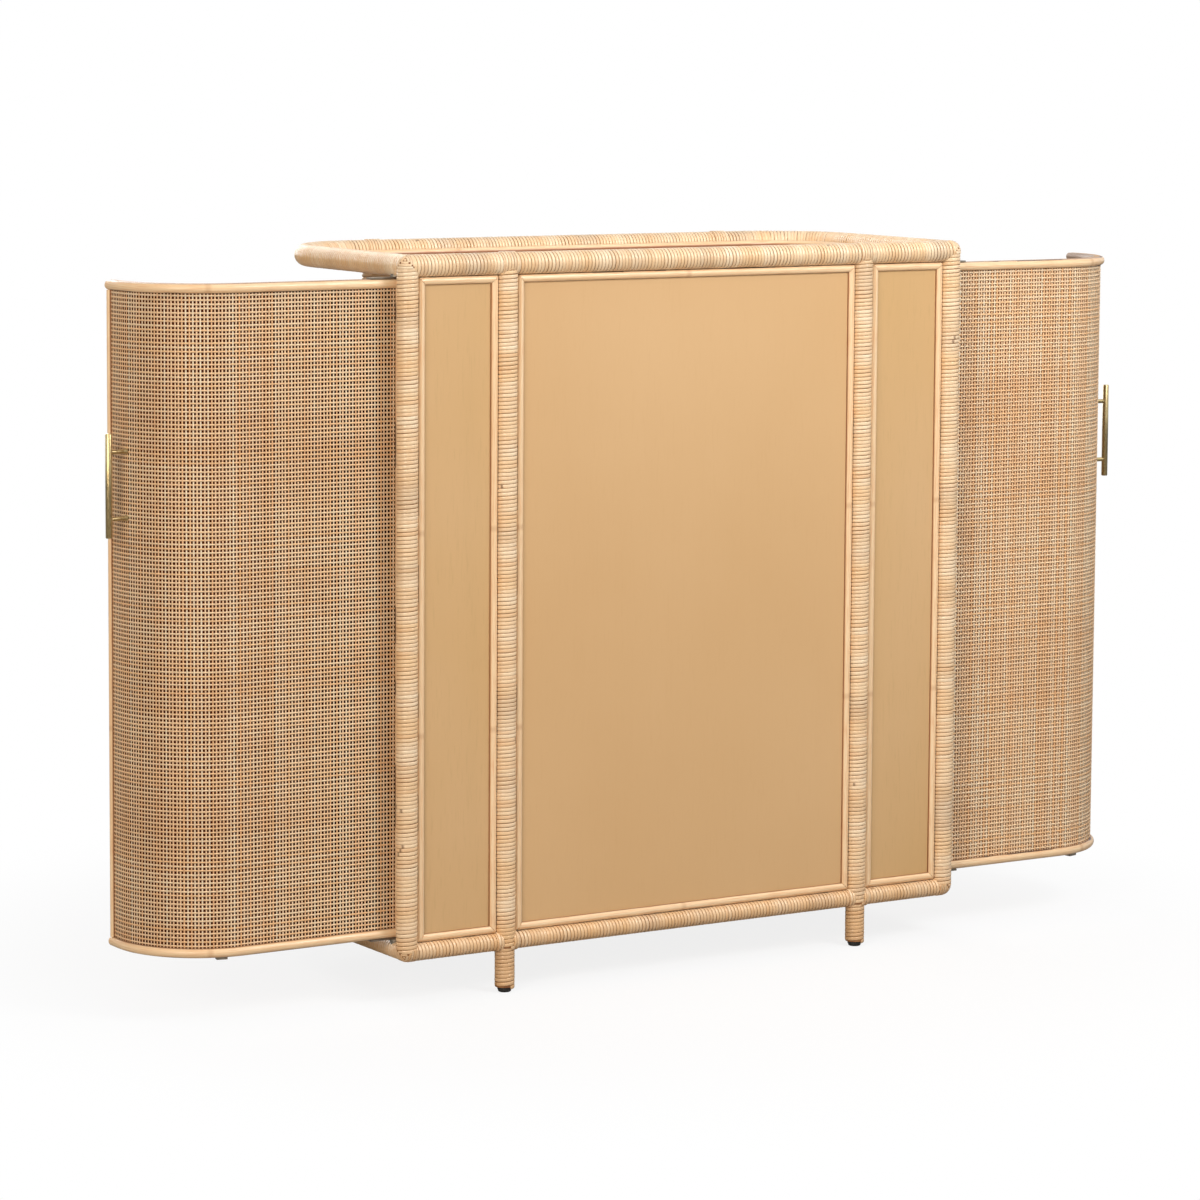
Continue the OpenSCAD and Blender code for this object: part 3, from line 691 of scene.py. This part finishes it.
# %% [markdown]
# ## The wound poles
#
# Posts, feet and both rims. The pitch is the width of the strip and a hair of gap. Counted in the
# photograph it is about 5.8 mm. The strip on the rims is a little thicker and rounder than the strip
# on the posts. A middle post runs on down through the base rim to its foot, so its level turns show
# across the joint.

# %% Wind every pole
PITCH = 5.8 * MM
POST_STRIP, RIM_STRIP = 0.9 * MM, 1.6 * MM


def wind(node, points, diameter, thickness, seed):
    values = {"Radius": diameter / 2, "Pitch": PITCH, "Thickness": thickness, "Steps": 18}
    values |= {"Seed": float(seed), "Skin": wound_skin, "Core": gap_shade_core}
    mesh = grow(polyline([(points, [(0, 0, 1)] * len(points))]), wind_pole, values)
    return finish_piece("wound_" + node, mesh, "cabinet", "rattan_wrap", node)


def upright(x, y, low, high, steps=4):
    return [(x, y, low + (high - low) * k / steps) for k in range(steps + 1)]


def rim_loop(z, back=HALF_D - 1 * MM, inset=0.0, steps=24):
    """From one back corner round the open front to the other, with rounded front corners."""
    turns = [math.radians(90 * k / steps) for k in range(1, steps + 1)]
    half, r = [(HALF_W - inset, back, z), (HALF_W - inset, ARC_Y, z)], CORNER_R - inset
    half += [(ARC_X + r * math.cos(t), ARC_Y - r * math.sin(t), z) for t in turns]
    return half + [(-x, y, z) for x, y, z in reversed(half)]


seed = 0
for side, sign in (("right", 1), ("left", -1)):
    low, high = BASE_Z + 3.5 * MM, RIM_Z - 1 * MM
    stands = [("back_corner_post_" + side, sign * HALF_W, HALF_D, low, high, POST_D)]
    for row, y in (("back", HALF_D), ("front", -HALF_D)):
        post = "back_mid_post_" if row == "back" else "front_post_"
        foot = "foot_%s_%s" % (row, side)
        stands.append((post + side, sign * BAY_X, y, BASE_Z - 9 * MM, RIM_Z - 3.5 * MM, POST_D))
        stands.append((foot, sign * BAY_X, y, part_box(foot)[0].z, BASE_Z - 8 * MM, FOOT_D))
    for node, x, y, low, high, diameter in stands:
        seed += 1
        wind(node, upright(x, y, low, high), diameter, POST_STRIP, seed)
for row, z, diameter in (("tray", RIM_Z, RIM_D), ("base", BASE_Z, BASE_D)):
    back = [((HALF_W - 1 * MM) * (1 - k / 4), HALF_D, z) for k in range(9)]
    wind(row + "_rim_back", back, diameter, RIM_STRIP, seed + 1)
    wind(row + "_rim_loop", rim_loop(z), diameter, RIM_STRIP, seed + 2)
    seed += 2

# %% [markdown]
# ## Lashings
#
# Where poles meet, the joint is bound over with more strip. At a corner three windings run together:
# each one goes on round the rounded corner until it meets its neighbour, so the strips of the three
# families meet in a star. That is drawn as arcs on a ball. A point of the ball belongs to the family
# whose coordinate is the smallest there, so each arc is cut just before that stops being true, and a
# thin dark crevice is left along the seam. Only the shortest ones, at the tip, cross each other.
# At the foot of a corner the ball is drawn out, because the strips of the base rim climb up the post
# before they turn.
#
# Over the middle and front posts five turns ride on top of the tray rim. At the base two turns on
# each side press against the post.


# %% Arcs on a corner ball
SEAM, TIP = -0.4 * MM, 1.2 * MM


def corner_arcs(centre, radius, stretch, signs, firsts, spacing=3.8 * MM, steps=72):
    """Arcs about the three axes, on the eighth of a ball that signs point to. A strip whose number is
    below 0 lies beside the ball, on the pole. stretch draws the ball out along Z."""
    lines = []
    for axis, first in enumerate(firsts):
        others = [k for k in range(3) if k != axis]
        for number in range(first, 4):
            level = spacing * (number + 0.5)
            ring = math.sqrt(max(radius**2 - max(level, 0) ** 2, 0)) + (0.3 * MM if level < 0 else 0)
            spots, outs = [], []
            for k in range(steps + 1):
                t = math.radians(90 * k / steps)
                spot = [0.0, 0.0, 0.0]
                spot[axis] = level
                spot[others[0]], spot[others[1]] = ring * math.cos(t), ring * math.sin(t)
                reach_over = SEAM if number < 2 else TIP
                if all(spot[axis] <= spot[other] + reach_over for other in others):
                    drawn = (1, 1, stretch)
                    out = [c * s / f for c, s, f in zip(spot, signs, drawn)]
                    if level < 0:
                        out[axis] = 0
                    outs.append(Vector(out).normalized())
                    spots.append(centre + Vector([c * s * f for c, s, f in zip(spot, signs, drawn)]))
            if len(spots) > 3:
                lines.append((spots, outs))
    return lines


def core_ball(centre, radius, stretch=1.0, rings=16):
    """A closed ball of the pole's core, so that no gap opens between the arcs."""
    spots, faces, n = [centre + Vector((0, 0, radius * stretch))], [], 2 * rings
    for i in range(1, rings):
        for k in range(n):
            t, p = math.pi * i / rings, math.pi * k / rings
            x, y, z = math.sin(t) * math.cos(p), math.sin(t) * math.sin(p), math.cos(t) * stretch
            spots.append(centre + Vector((x, y, z)) * radius)
    spots.append(centre - Vector((0, 0, radius * stretch)))
    last = len(spots) - 1
    for k in range(n):
        k2 = (k + 1) % n
        faces += [(0, 1 + k, 1 + k2), (last, last - n + k2, last - n + k)]
        for a in range(1, 1 + n * (rings - 2), n):
            faces.append((a + k, a + n + k, a + n + k2, a + k2))
    return solid(spots, faces, [gap_shade_core], 60)


# %% Turns that ride on a rim
def rim_turns(x, y, z, radius, places, steps=32):
    turns = [2 * math.pi * k / steps for k in range(steps)]
    ways = [Vector((0, math.cos(t), math.sin(t))) for t in turns]
    return [([Vector((x + at, y, z)) + way * radius for way in ways], ways) for at in places]


# %% Bind the corners and the joints
CLIMB = 6 * MM
for side, sign in (("right", 1), ("left", -1)):
    top, low = (Vector((sign * HALF_W, HALF_D, z)) for z in (RIM_Z, BASE_Z + CLIMB))
    stretch = (BASE_D / 2 + CLIMB) / (POST_D / 2)
    arcs = corner_arcs(top, RIM_D / 2, 1.0, (sign, 1, 1), (-1, -1, -1))
    arcs += corner_arcs(low, POST_D / 2, stretch, (sign, 1, -1), (-3, -3, 0))
    turns = []
    for y in (HALF_D, -HALF_D):
        for z, radius, places in (
            (RIM_Z, RIM_D / 2 + 0.3 * MM, (-9.8, -4.9, 0, 4.9, 9.8)),
            (BASE_Z, BASE_D / 2 + 0.6 * MM, (-15.6, -10.9, 10.9, 15.6)),
        ):
            turns += rim_turns(sign * BAY_X, y, z, radius, [at * MM for at in places])
    laid = {"Width": 3.85 * MM, "Thickness": 1.2 * MM, "Offset": -0.6 * MM, "Skin": wound_skin}
    bound = dict(laid, Width=4.7 * MM, Thickness=RIM_STRIP, Offset=0.0)
    meshes = [core_ball(top, RIM_D / 2 - 0.8 * MM), core_ball(low, POST_D / 2 - 0.8 * MM, stretch)]
    meshes.append(grow(polyline(arcs), lay_strip, laid))
    meshes.append(grow(polyline(turns, closed=True), lay_strip, bound))
    finish_piece("lashings_" + side, fuse(meshes), "cabinet", "rattan_wrap")

# %% [markdown]
# ## The beads round the back panels
#
# Half-round peeled rattan, 12 mm wide, cut at 45 degrees where two lengths meet. The thin dark line
# of the cut shows, so each length is its own shape with cut ends and a hair of air between them. A
# sweep could not cut its own ends on the slant, so this one is made point by point: every point of
# the section ends as far along as it lies from the outer edge.


# %% Mitred half-round beads
def mitred_frame(node, width=12 * MM, gap=0.45 * MM, steps=14, cuts=12):
    low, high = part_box(node)
    centre, half = (low + high) / 2, (high - low) / 2
    spots, faces, marks = [], [], []
    lying, standing = Vector((1, 0, 0)), Vector((0, 0, 1))
    row = steps + 1
    for number, (way, side, long_half, short_half) in enumerate(
        [(lying, standing, half.x, half.z), (lying, -standing, half.x, half.z)]
        + [(standing, lying, half.z, half.x), (standing, -lying, half.z, half.x)]
    ):
        first = len(spots)
        for c in range(cuts + 1):
            for k in range(row):
                t = math.pi * k / steps
                from_edge = width / 2 * (1 - math.cos(t))
                at = (long_half - from_edge - gap) * (2 * c / cuts - 1)
                spot = Vector((centre.x, low.y + (high.y - low.y) * math.sin(t), centre.z))
                spots.append(spot + way * at + side * (short_half - from_edge))
                marks.append((at + long_half, -math.cos(t), number))
        for c in range(cuts):
            a, b = first + c * row, first + c * row + row
            faces += [(a + k, a + (k + 1) % row, b + (k + 1) % row, b + k) for k in range(row)]
        faces.append(tuple(range(first, first + row)))
        faces.append(tuple(reversed(range(first + cuts * row, first + cuts * row + row))))
    along, across, strand = zip(*marks)
    return solid(spots, faces, [peeled], 50, along=along, across=across, strand=strand)


for bay in ("left", "centre", "right"):
    node = "bead_frame_" + bay
    finish_piece("mitred_" + node, mitred_frame(node), "cabinet", "rattan_peel", node)

# %% [markdown]
# ## The bead inside the tray
#
# One cream bead runs round the tray at the foot of the rim and hides the edge of the board. It
# follows the rim's path, set in by the rim's radius and its own.

# %% Bead inside the tray
bead_low, bead_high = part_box("tray_bead")
inset = HALF_W - bead_high.x + 5 * MM
loop = rim_loop(bead_low.z, HALF_D - inset, inset, 16)
shape = {"Width": 10 * MM, "Height": 8 * MM, "Skin": peeled}
mesh = grow(polyline([(loop, [(0, 0, 1)] * len(loop))], closed=True), lay_bead, shape)
finish_piece("bead_in_tray", mesh, "cabinet", "rattan_peel", "tray_bead")

# %% [markdown]
# ## The doors
#
# Each door is a bent board. In plan it goes straight for 257 mm, turns through a quarter circle and
# ends in a short straight. Every layer follows that same line at its own offset: the board, the
# cane on it, and the half-round rails along the top and the bottom. So one function gives the line
# at an offset, with the way out at each point, and each piece is grown on it.


# %% The line that a door follows
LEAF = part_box("right_door_leaf")
OUT, IN = 7 * MM, -2 * MM
BEND_X = LEAF[1].x - CORNER_R - OUT
BEND_Y = LEAF[1].y - CORNER_R - OUT
START_X, END_Y = LEAF[0].x, LEAF[0].y


def door_line(offset, sign, start=0.0, finish=0.0, spacing=None, steps=24):
    """Points (x, y) and outs of the door's plan line. start and finish trim it at its two ends."""
    radius = CORNER_R + offset
    straight = BEND_X - START_X - start
    arc = radius * math.pi / 2
    last = BEND_Y - END_Y - finish
    if spacing:
        marks = [k * spacing for k in range(int(round((straight + arc + last) / spacing)) + 1)]
    else:
        marks = [0.0, straight / 2] + [straight + arc * k / steps for k in range(steps + 1)]
        marks.append(straight + arc + last)
    points, outs = [], []
    for s in marks:
        turn = min(max((s - straight) / radius, 0.0), math.pi / 2)
        x = BEND_X + radius * math.sin(turn) + min(s - straight, 0.0)
        y = BEND_Y + radius * math.cos(turn) - max(s - straight - arc, 0.0)
        points.append((sign * x, y))
        outs.append((sign * math.sin(turn), math.cos(turn), 0.0))
    return points, outs


plan = door_line(OUT, 1)[0]
print("the door line's two ends:", [[round(c, 4) for c in plan[k]] for k in (0, -1)])


# %% [markdown]
# ### The bent board
#
# Nine millimetres of plywood. The mesh keeps each point's depth in the board, so that the material
# can draw the plies on every edge, also round the bend.


# %% Door board
def door_board(side, sign, sheets=6):
    layers = [IN + (OUT - IN) * k / sheets for k in range(sheets + 1)]
    lines = [door_line(offset, sign)[0] for offset in layers]
    n = len(lines[0])
    spots = [(x, y, LEAF[j].z) for line in lines for j in (0, 1) for x, y in line]
    depths = [offset for offset in layers for _ in range(2 * n)]

    def at(i, j, k):
        return (2 * i + j) * n + k

    outer, inner = [], []
    for k in range(n - 1):
        outer.append((at(sheets, 0, k), at(sheets, 0, k + 1), at(sheets, 1, k + 1), at(sheets, 1, k)))
        inner.append((at(0, 0, k), at(0, 1, k), at(0, 1, k + 1), at(0, 0, k + 1)))
    faces = outer + inner
    for i in range(sheets):
        for k in range(n - 1):
            faces.append((at(i, 0, k), at(i, 0, k + 1), at(i + 1, 0, k + 1), at(i + 1, 0, k)))
            faces.append((at(i, 1, k), at(i + 1, 1, k), at(i + 1, 1, k + 1), at(i, 1, k + 1)))
        faces += [(at(i, 0, k), at(i + 1, 0, k), at(i + 1, 1, k), at(i, 1, k)) for k in (0, n - 1)]
    mesh = solid(spots, faces, [ply_bent, stained[side]], 40, depth=depths)
    mesh.polygons.foreach_set("material_index", [1] * len(outer) + [0] * (len(faces) - len(outer)))
    return mesh


# %% [markdown]
# ### Woven cane
#
# Plain weave, one strand over and one under. Counted in the photograph, the upright strands stand
# 5.2 mm apart and the level ones 6.1 mm. On the right door an upright strand is 2.3 mm wide and a
# level one 2.7 mm, so the holes take a third of the sheet, and the dark board shows through them.
# The left door was cut from a closer and thicker sheet, with strands of 3.3 and 3.2 mm. The right
# door's strands are thin and lie close to the board, or its holes would close when seen from the
# side. The level strands follow the door's line and the upright ones stand on it. Each set is two
# pieces, so that none is too heavy.

# %% Cane
ROW_PITCH, COLUMN_PITCH = 6.07 * MM, 5.2 * MM
RAIL_H, BEAD_W, TRIM_W = 14 * MM, 8 * MM, 12 * MM
# In mm: how wide a level and an upright strand are, how thick, and how far they swing over and under
STRANDS = {"right": (2.7, 2.3, 0.45, 0.22), "left": (3.2, 3.3, 0.6, 0.35)}


def door_cane(side, sign):
    """The four pieces of a door's cane: name, mesh."""
    low, high = LEAF[0].z + RAIL_H, LEAF[1].z - RAIL_H
    line, outs = door_line(OUT + 0.5 * MM, sign, BEAD_W, BEAD_W, COLUMN_PITCH / 2)
    rows = 2 * int((high - low) / ROW_PITCH / 2)
    rise = (high - low) / rows
    level = [([(x, y, low + rise * (r + 0.5)) for x, y in line], outs) for r in range(rows)]
    heights = [low + rise * s / 2 for s in range(2 * rows + 1)]
    odd = range(1, len(line), 2)
    standing = [([(*line[k], z) for z in heights], [outs[k]] * len(heights)) for k in odd]
    # An even half keeps the over and under of its neighbour
    across_half, up_half = rows // 4 * 2, len(standing) // 4 * 2
    level_wide, upright_wide, thick, swing = (size * MM for size in STRANDS[side])
    # The crossings lie at the odd steps of both sets, where one is up and the other down
    flat = {"Width": level_wide, "Thickness": thick, "Swing": swing, "Phase": 0.5, "Skin": cane_level}
    tall = dict(flat, Width=upright_wide, Phase=1.5, Skin=cane_upright)
    halves = [
        ("level_strands_below", level[:across_half], flat, 11),
        ("level_strands_above", level[across_half:], flat, 12),
        ("upright_strands_hinge_half", standing[:up_half], tall, 13),
        ("upright_strands_free_half", standing[up_half:], tall, 14),
    ]
    return [
        (name, grow(polyline(strands), weave, dict(values, Seed=seed)))
        for name, strands, values, seed in halves
    ]


# %% [markdown]
# ### Rails, beads and trims of the doors
#
# The cane is held at its edges by half-round peeled rattan: 14 mm rails above and below, 8 mm
# beads on both upright edges, and 12 mm trims on the inner face that hide the edge of the board.


# %% Door rails and beads
def level_bead(sign, offset, z, width, height, facing=1, skin=peeled):
    line, outs = door_line(offset, sign)
    points, ways = [(x, y, z) for x, y in line], [(facing * x, facing * y, 0) for x, y, _ in outs]
    return grow(polyline([(points, ways)]), lay_bead, {"Width": width, "Height": height, "Skin": skin})


def standing_bead(x, y, low, high, way, width, height, skin=peeled):
    path = polyline([(upright(x, y, low, high, 8), [way] * 9)])
    return grow(path, lay_bead, {"Width": width, "Height": height, "Skin": skin})


# %% [markdown]
# ### The brass handle
#
# A 10 mm bar on two stems. The bar's ends have a small chamfer, and each stem swells to a small foot
# where it stands on the door. All are turned parts, so one function turns a profile round its axis.


# %% Turned parts
def turned(start, way, profile, skin, sides=28):
    """Turns (distance along the axis, radius) pairs round an axis, with closed ends."""
    way = Vector(way).normalized()
    side = way.orthogonal().normalized()
    third = way.cross(side)
    spots, faces = [], []
    for distance, radius in profile:
        for k in range(sides):
            t = 2 * math.pi * k / sides
            outwards = side * math.cos(t) + third * math.sin(t)
            spots.append(Vector(start) + way * distance + outwards * radius)
    for r in range(len(profile) - 1):
        a, b = r * sides, r * sides + sides
        faces += [(a + k, a + (k + 1) % sides, b + (k + 1) % sides, b + k) for k in range(sides)]
    faces.append(tuple(reversed(range(sides))))
    faces.append(tuple(range(len(spots) - sides, len(spots))))
    return solid(spots, faces, [skin], 35)


# %% The handle of a door
def pull_bar(side):
    low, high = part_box(side + "_handle_bar")
    centre, long, r = (low + high) / 2, high.z - low.z, (high.x - low.x) / 2
    end = [(0, r - 1.0 * MM), (0.3 * MM, r - 0.4 * MM), (1.0 * MM, r)]
    profile = end + [(long - d, radius) for d, radius in reversed(end)]
    return turned((centre.x, centre.y, low.z), (0, 0, 1), profile, brass, 32)


def pull_stems(side, sign):
    bar, stems = middle(side + "_handle_bar"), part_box(side + "_handle_stems")
    away = Vector((bar.x - sign * BEND_X, bar.y - BEND_Y, 0))
    way = away.normalized()
    foot = Vector((sign * BEND_X, BEND_Y, 0)) + way * (CORNER_R + OUT)
    r = 3.25 * MM
    swell = ((0.2, 4.7), (2.2, 4.8), (3.0, 4.5), (4.5, 4.0), (8, 3.6))
    profile = [(0, r)] + [(distance * MM, radius * MM) for distance, radius in swell]
    profile.append((away.length - CORNER_R - OUT, r))
    places = (stems[0].z + r, stems[1].z - r)
    return fuse([turned(foot + Vector((0, 0, z)), way, profile, brass) for z in places])


# %% Build both doors
for side, sign in (("right", 1), ("left", -1)):
    low, high = LEAF[0].z, LEAF[1].z
    edge_x, face_y = sign * (BEND_X + CORNER_R), BEND_Y + CORNER_R + OUT
    pieces = [("board", door_board(side, sign), "plywood", "door_leaf")]
    pieces += [("cane_" + name, mesh, "cane", "") for name, mesh in door_cane(side, sign)]
    # The first piece of the cane stands for the CAD sheet
    pieces[1] = (*pieces[1][:3], "door_cane")
    for name, z in (("top", high - RAIL_H / 2), ("bottom", low + RAIL_H / 2)):
        rail = level_bead(sign, OUT, z, RAIL_H, RAIL_H / 2)
        pieces.append(("rail_" + name, rail, "rattan_peel", "door_rail_" + name))
    ends = (low + RAIL_H, high - RAIL_H)
    free_at = (edge_x + sign * OUT, END_Y + BEAD_W / 2)
    free = standing_bead(*free_at, *ends, (sign, 0, 0), BEAD_W, 5.5 * MM)
    hinge_at = (sign * (START_X + BEAD_W / 2), face_y)
    hinge = standing_bead(*hinge_at, *ends, (0, 1, 0), BEAD_W, 4 * MM)
    ends = (low + TRIM_W / 2, high - TRIM_W / 2)
    # The inner trims take the grey of painted shade
    trims = [level_bead(sign, IN, z, TRIM_W, TRIM_W / 2, -1, painted_shade_grey) for z in ends]
    ends = (low + TRIM_W, high - TRIM_W)
    trim_at = (edge_x + sign * IN, END_Y + TRIM_W / 2)
    trims.append(standing_bead(*trim_at, *ends, (-sign, 0, 0), TRIM_W, TRIM_W / 2, painted_shade_grey))
    pieces += [
        ("free_bead", free, "rattan_peel", "door_free_bead"),
        ("hinge_bead", hinge, "rattan_peel", "door_hinge_bead"),
        ("inner_trim", fuse(trims), "rattan_peel", "door_inner_trim"),
        ("pull_bar", pull_bar(side), "brass", "handle_bar"),
        ("pull_stems", pull_stems(side, sign), "brass", "handle_stems"),
    ]
    for name, mesh, slot, node in pieces:
        nodes = [side + "_" + node] if node else []
        finish_piece(side + "_" + name, mesh, side + "_door", slot, *nodes)

# %% [markdown]
# ## The glides
#
# A moulded black disc under each foot, with a rounded edge where it meets the floor.

# %% Floor glides
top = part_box("glides")[1].z
rounded = ((0, 8.2), (0.5, 9.2), (1.6, 9.8), (3.4, 10), (4, 10.9))
profile = [(distance * MM, radius * MM) for distance, radius in rounded]
profile += [(top - 1 * MM, 11 * MM), (top, 10.2 * MM)]
corners = [(x, y, 0) for x in (-BAY_X, BAY_X) for y in (-HALF_D, HALF_D)]
discs = [turned(corner, (0, 0, 1), profile, nylon) for corner in corners]
finish_piece("floor_glides", fuse(discs), "cabinet", "glide", "glides")

# %% [markdown]
# ## CAD pieces that keep their shape
#
# Flat boards, battens and the small steel fittings are right as they come from the CAD. They keep
# their objects and get a new material.

# %% Dress the CAD pieces
dress = {
    ply_level: ["top_board", "floor_board", "centre_shelf_lower", "centre_shelf_upper"]
    + ["side_shelf_" + a + b for a in ("left", "right") for b in ("_lower", "_upper")],
    ply_upright: ["partition_left", "partition_right"],
    batten_wood: ["shelf_battens"],
    panel_centre: ["back_panel_centre"],
    panel_side: ["back_panel_left", "back_panel_right"],
    zinc: ["pivot_bushes", "catch_magnets"]
    + [a + b for a in ("left_", "right_") for b in ("handle_screws", "pivot_plates", "strike")],
}
for skin, nodes in dress.items():
    for node in nodes:
        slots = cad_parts[node].data.materials
        slots.clear()
        slots.append(skin)
print("dressed:", sum(len(n) for n in dress.values()), "CAD pieces")

# %% [markdown]
# ## Floor, light and camera
#
# The photograph is a cut-out on near-white paper with a faint grey contact shadow. The floor is a
# white disc. To the camera a part of its light is a plain white glow, so that only a faint shadow is
# left near the cabinet, and further out it glows at full white, so the picture's ground stays white.
# The light that it throws back on the cabinet is that of a pale grey floor. The sky is white for the
# camera and for reflections, and a quieter white as light.
#
# The main light is a soft round panel, high on the photograph's right. It hangs near enough that the
# back grows darker towards the floor. A warm fill from the left lights the cane and the tops of the
# rims. A soft panel overhead and one before the open front keep the other views clear.

# %% Floor
paper_mesh = bpy.data.meshes.new("floor")
FLOOR_R, FLOOR_SIDES = 30.0, 64
turns = [2 * math.pi * k / FLOOR_SIDES for k in range(FLOOR_SIDES)]
ring = [(FLOOR_R * math.cos(t), FLOOR_R * math.sin(t), 0) for t in turns]
paper_mesh.from_pydata(ring, [], [tuple(range(FLOOR_SIDES))])
place_object("floor", paper_mesh)
paper, tree = material("white paper floor", 0.9)
place = add(tree, PLACE).outputs["Object"]
far = add(tree, VECTOR_MATH, [place], operation="LENGTH").outputs["Value"]
far = add(tree, RANGE, [far, 0.6, 1.3, 0.84, 1.0], interpolation_type="SMOOTHSTEP")
seen = add(tree, "ShaderNodeLightPath").outputs["Is Camera Ray"]
fade = add(tree, MATH, [far, seen], operation="MULTIPLY")
shader = tree.nodes["Principled BSDF"]
paper_tone = tints(tree, "#A5A3A1", ("#F2F4F8", seen, 0.0, 1.0, 1.0))
tree.links.new(paper_tone.outputs[2], shader.inputs["Base Color"])
shader.inputs["Specular IOR Level"].default_value = 0.0
glow = add(tree, "ShaderNodeEmission", {"Color": (1, 1, 1, 1), "Strength": 1.0})
both = add(tree, "ShaderNodeMixShader", [fade, shader, glow])
tree.links.new(both.outputs[0], tree.nodes["Material Output"].inputs["Surface"])
paper_mesh.materials.append(paper)

# %% World
world = bpy.data.worlds.new("studio")
bpy.context.scene.world = world
world.use_nodes = True
tree = world.node_tree
rays = add(tree, "ShaderNodeLightPath").outputs
seen = add(tree, MATH, [rays["Is Camera Ray"], rays["Is Glossy Ray"]], operation="MAXIMUM")
seen = add(tree, MATH, [seen, rays["Is Transmission Ray"]], operation="MAXIMUM")
level = add(tree, RANGE, [seen, 0.0, 1.0, 0.23, 1.0])
sky = tree.nodes["Background"]
sky.inputs["Color"].default_value = (1, 1, 1, 1)
tree.links.new(level.outputs[0], sky.inputs["Strength"])


# %% Lamps
def lamp(name, place, target, size, watts, colour="#FFFFFF"):
    light = bpy.data.lights.new(name, "AREA")
    light.shape, light.size, light.energy = "DISK", size, watts
    light.color = linear(colour)[:3]
    made = place_object(name, light)
    made.location = place
    made.rotation_euler = (Vector(target) - Vector(place)).to_track_quat("-Z", "Y").to_euler()
    made.visible_camera = False
    return made


lamp("key, high on the photograph's right", (-0.75, 2.0, 2.2), (0, 0, 0.6), 1.3, 42, "#FFFDFB")
lamp("soft top", (0.3, 0.8, 4.2), (0, 0, 0.5), 3.0, 28)
lamp("warm fill from the left", (4.0, 2.8, 1.9), (0.3, 0, 0.5), 2.5, 118, "#FFF0DE")
lamp("front fill, for the open side", (0.0, -4.5, 2.2), (0, 0, 0.5), 3.0, 95)

# %% [markdown]
# The camera was found by fitting about seventy points of the CAD model to the photograph: a long
# lens a few metres off, a little above the cabinet and well to its left.

# %% Camera
camera_data = bpy.data.cameras.new("camera")
camera_data.sensor_width, camera_data.lens, camera_data.shift_y = 36.0, 128.280, -0.1
camera_data.clip_end = 100
camera = place_object("camera", camera_data)
yaw, pitch, roll = (math.radians(a) for a in (31.982, 6.012, 0.344))
level = math.cos(pitch)
forward = Vector((-math.sin(yaw) * level, -math.cos(yaw) * level, -math.sin(pitch)))
right = forward.cross(Vector((0, 0, 1))).normalized()
up = right.cross(forward)
right, up = right * math.cos(roll) + up * math.sin(roll), up * math.cos(roll) - right * math.sin(roll)
turn = Matrix((right, up, -forward)).transposed().to_4x4()
camera.matrix_world = Matrix.Translation((3.511209, 5.576177, 1.423753)) @ turn
bpy.context.scene.camera = camera
bpy.context.scene.view_settings.view_transform = "Standard"
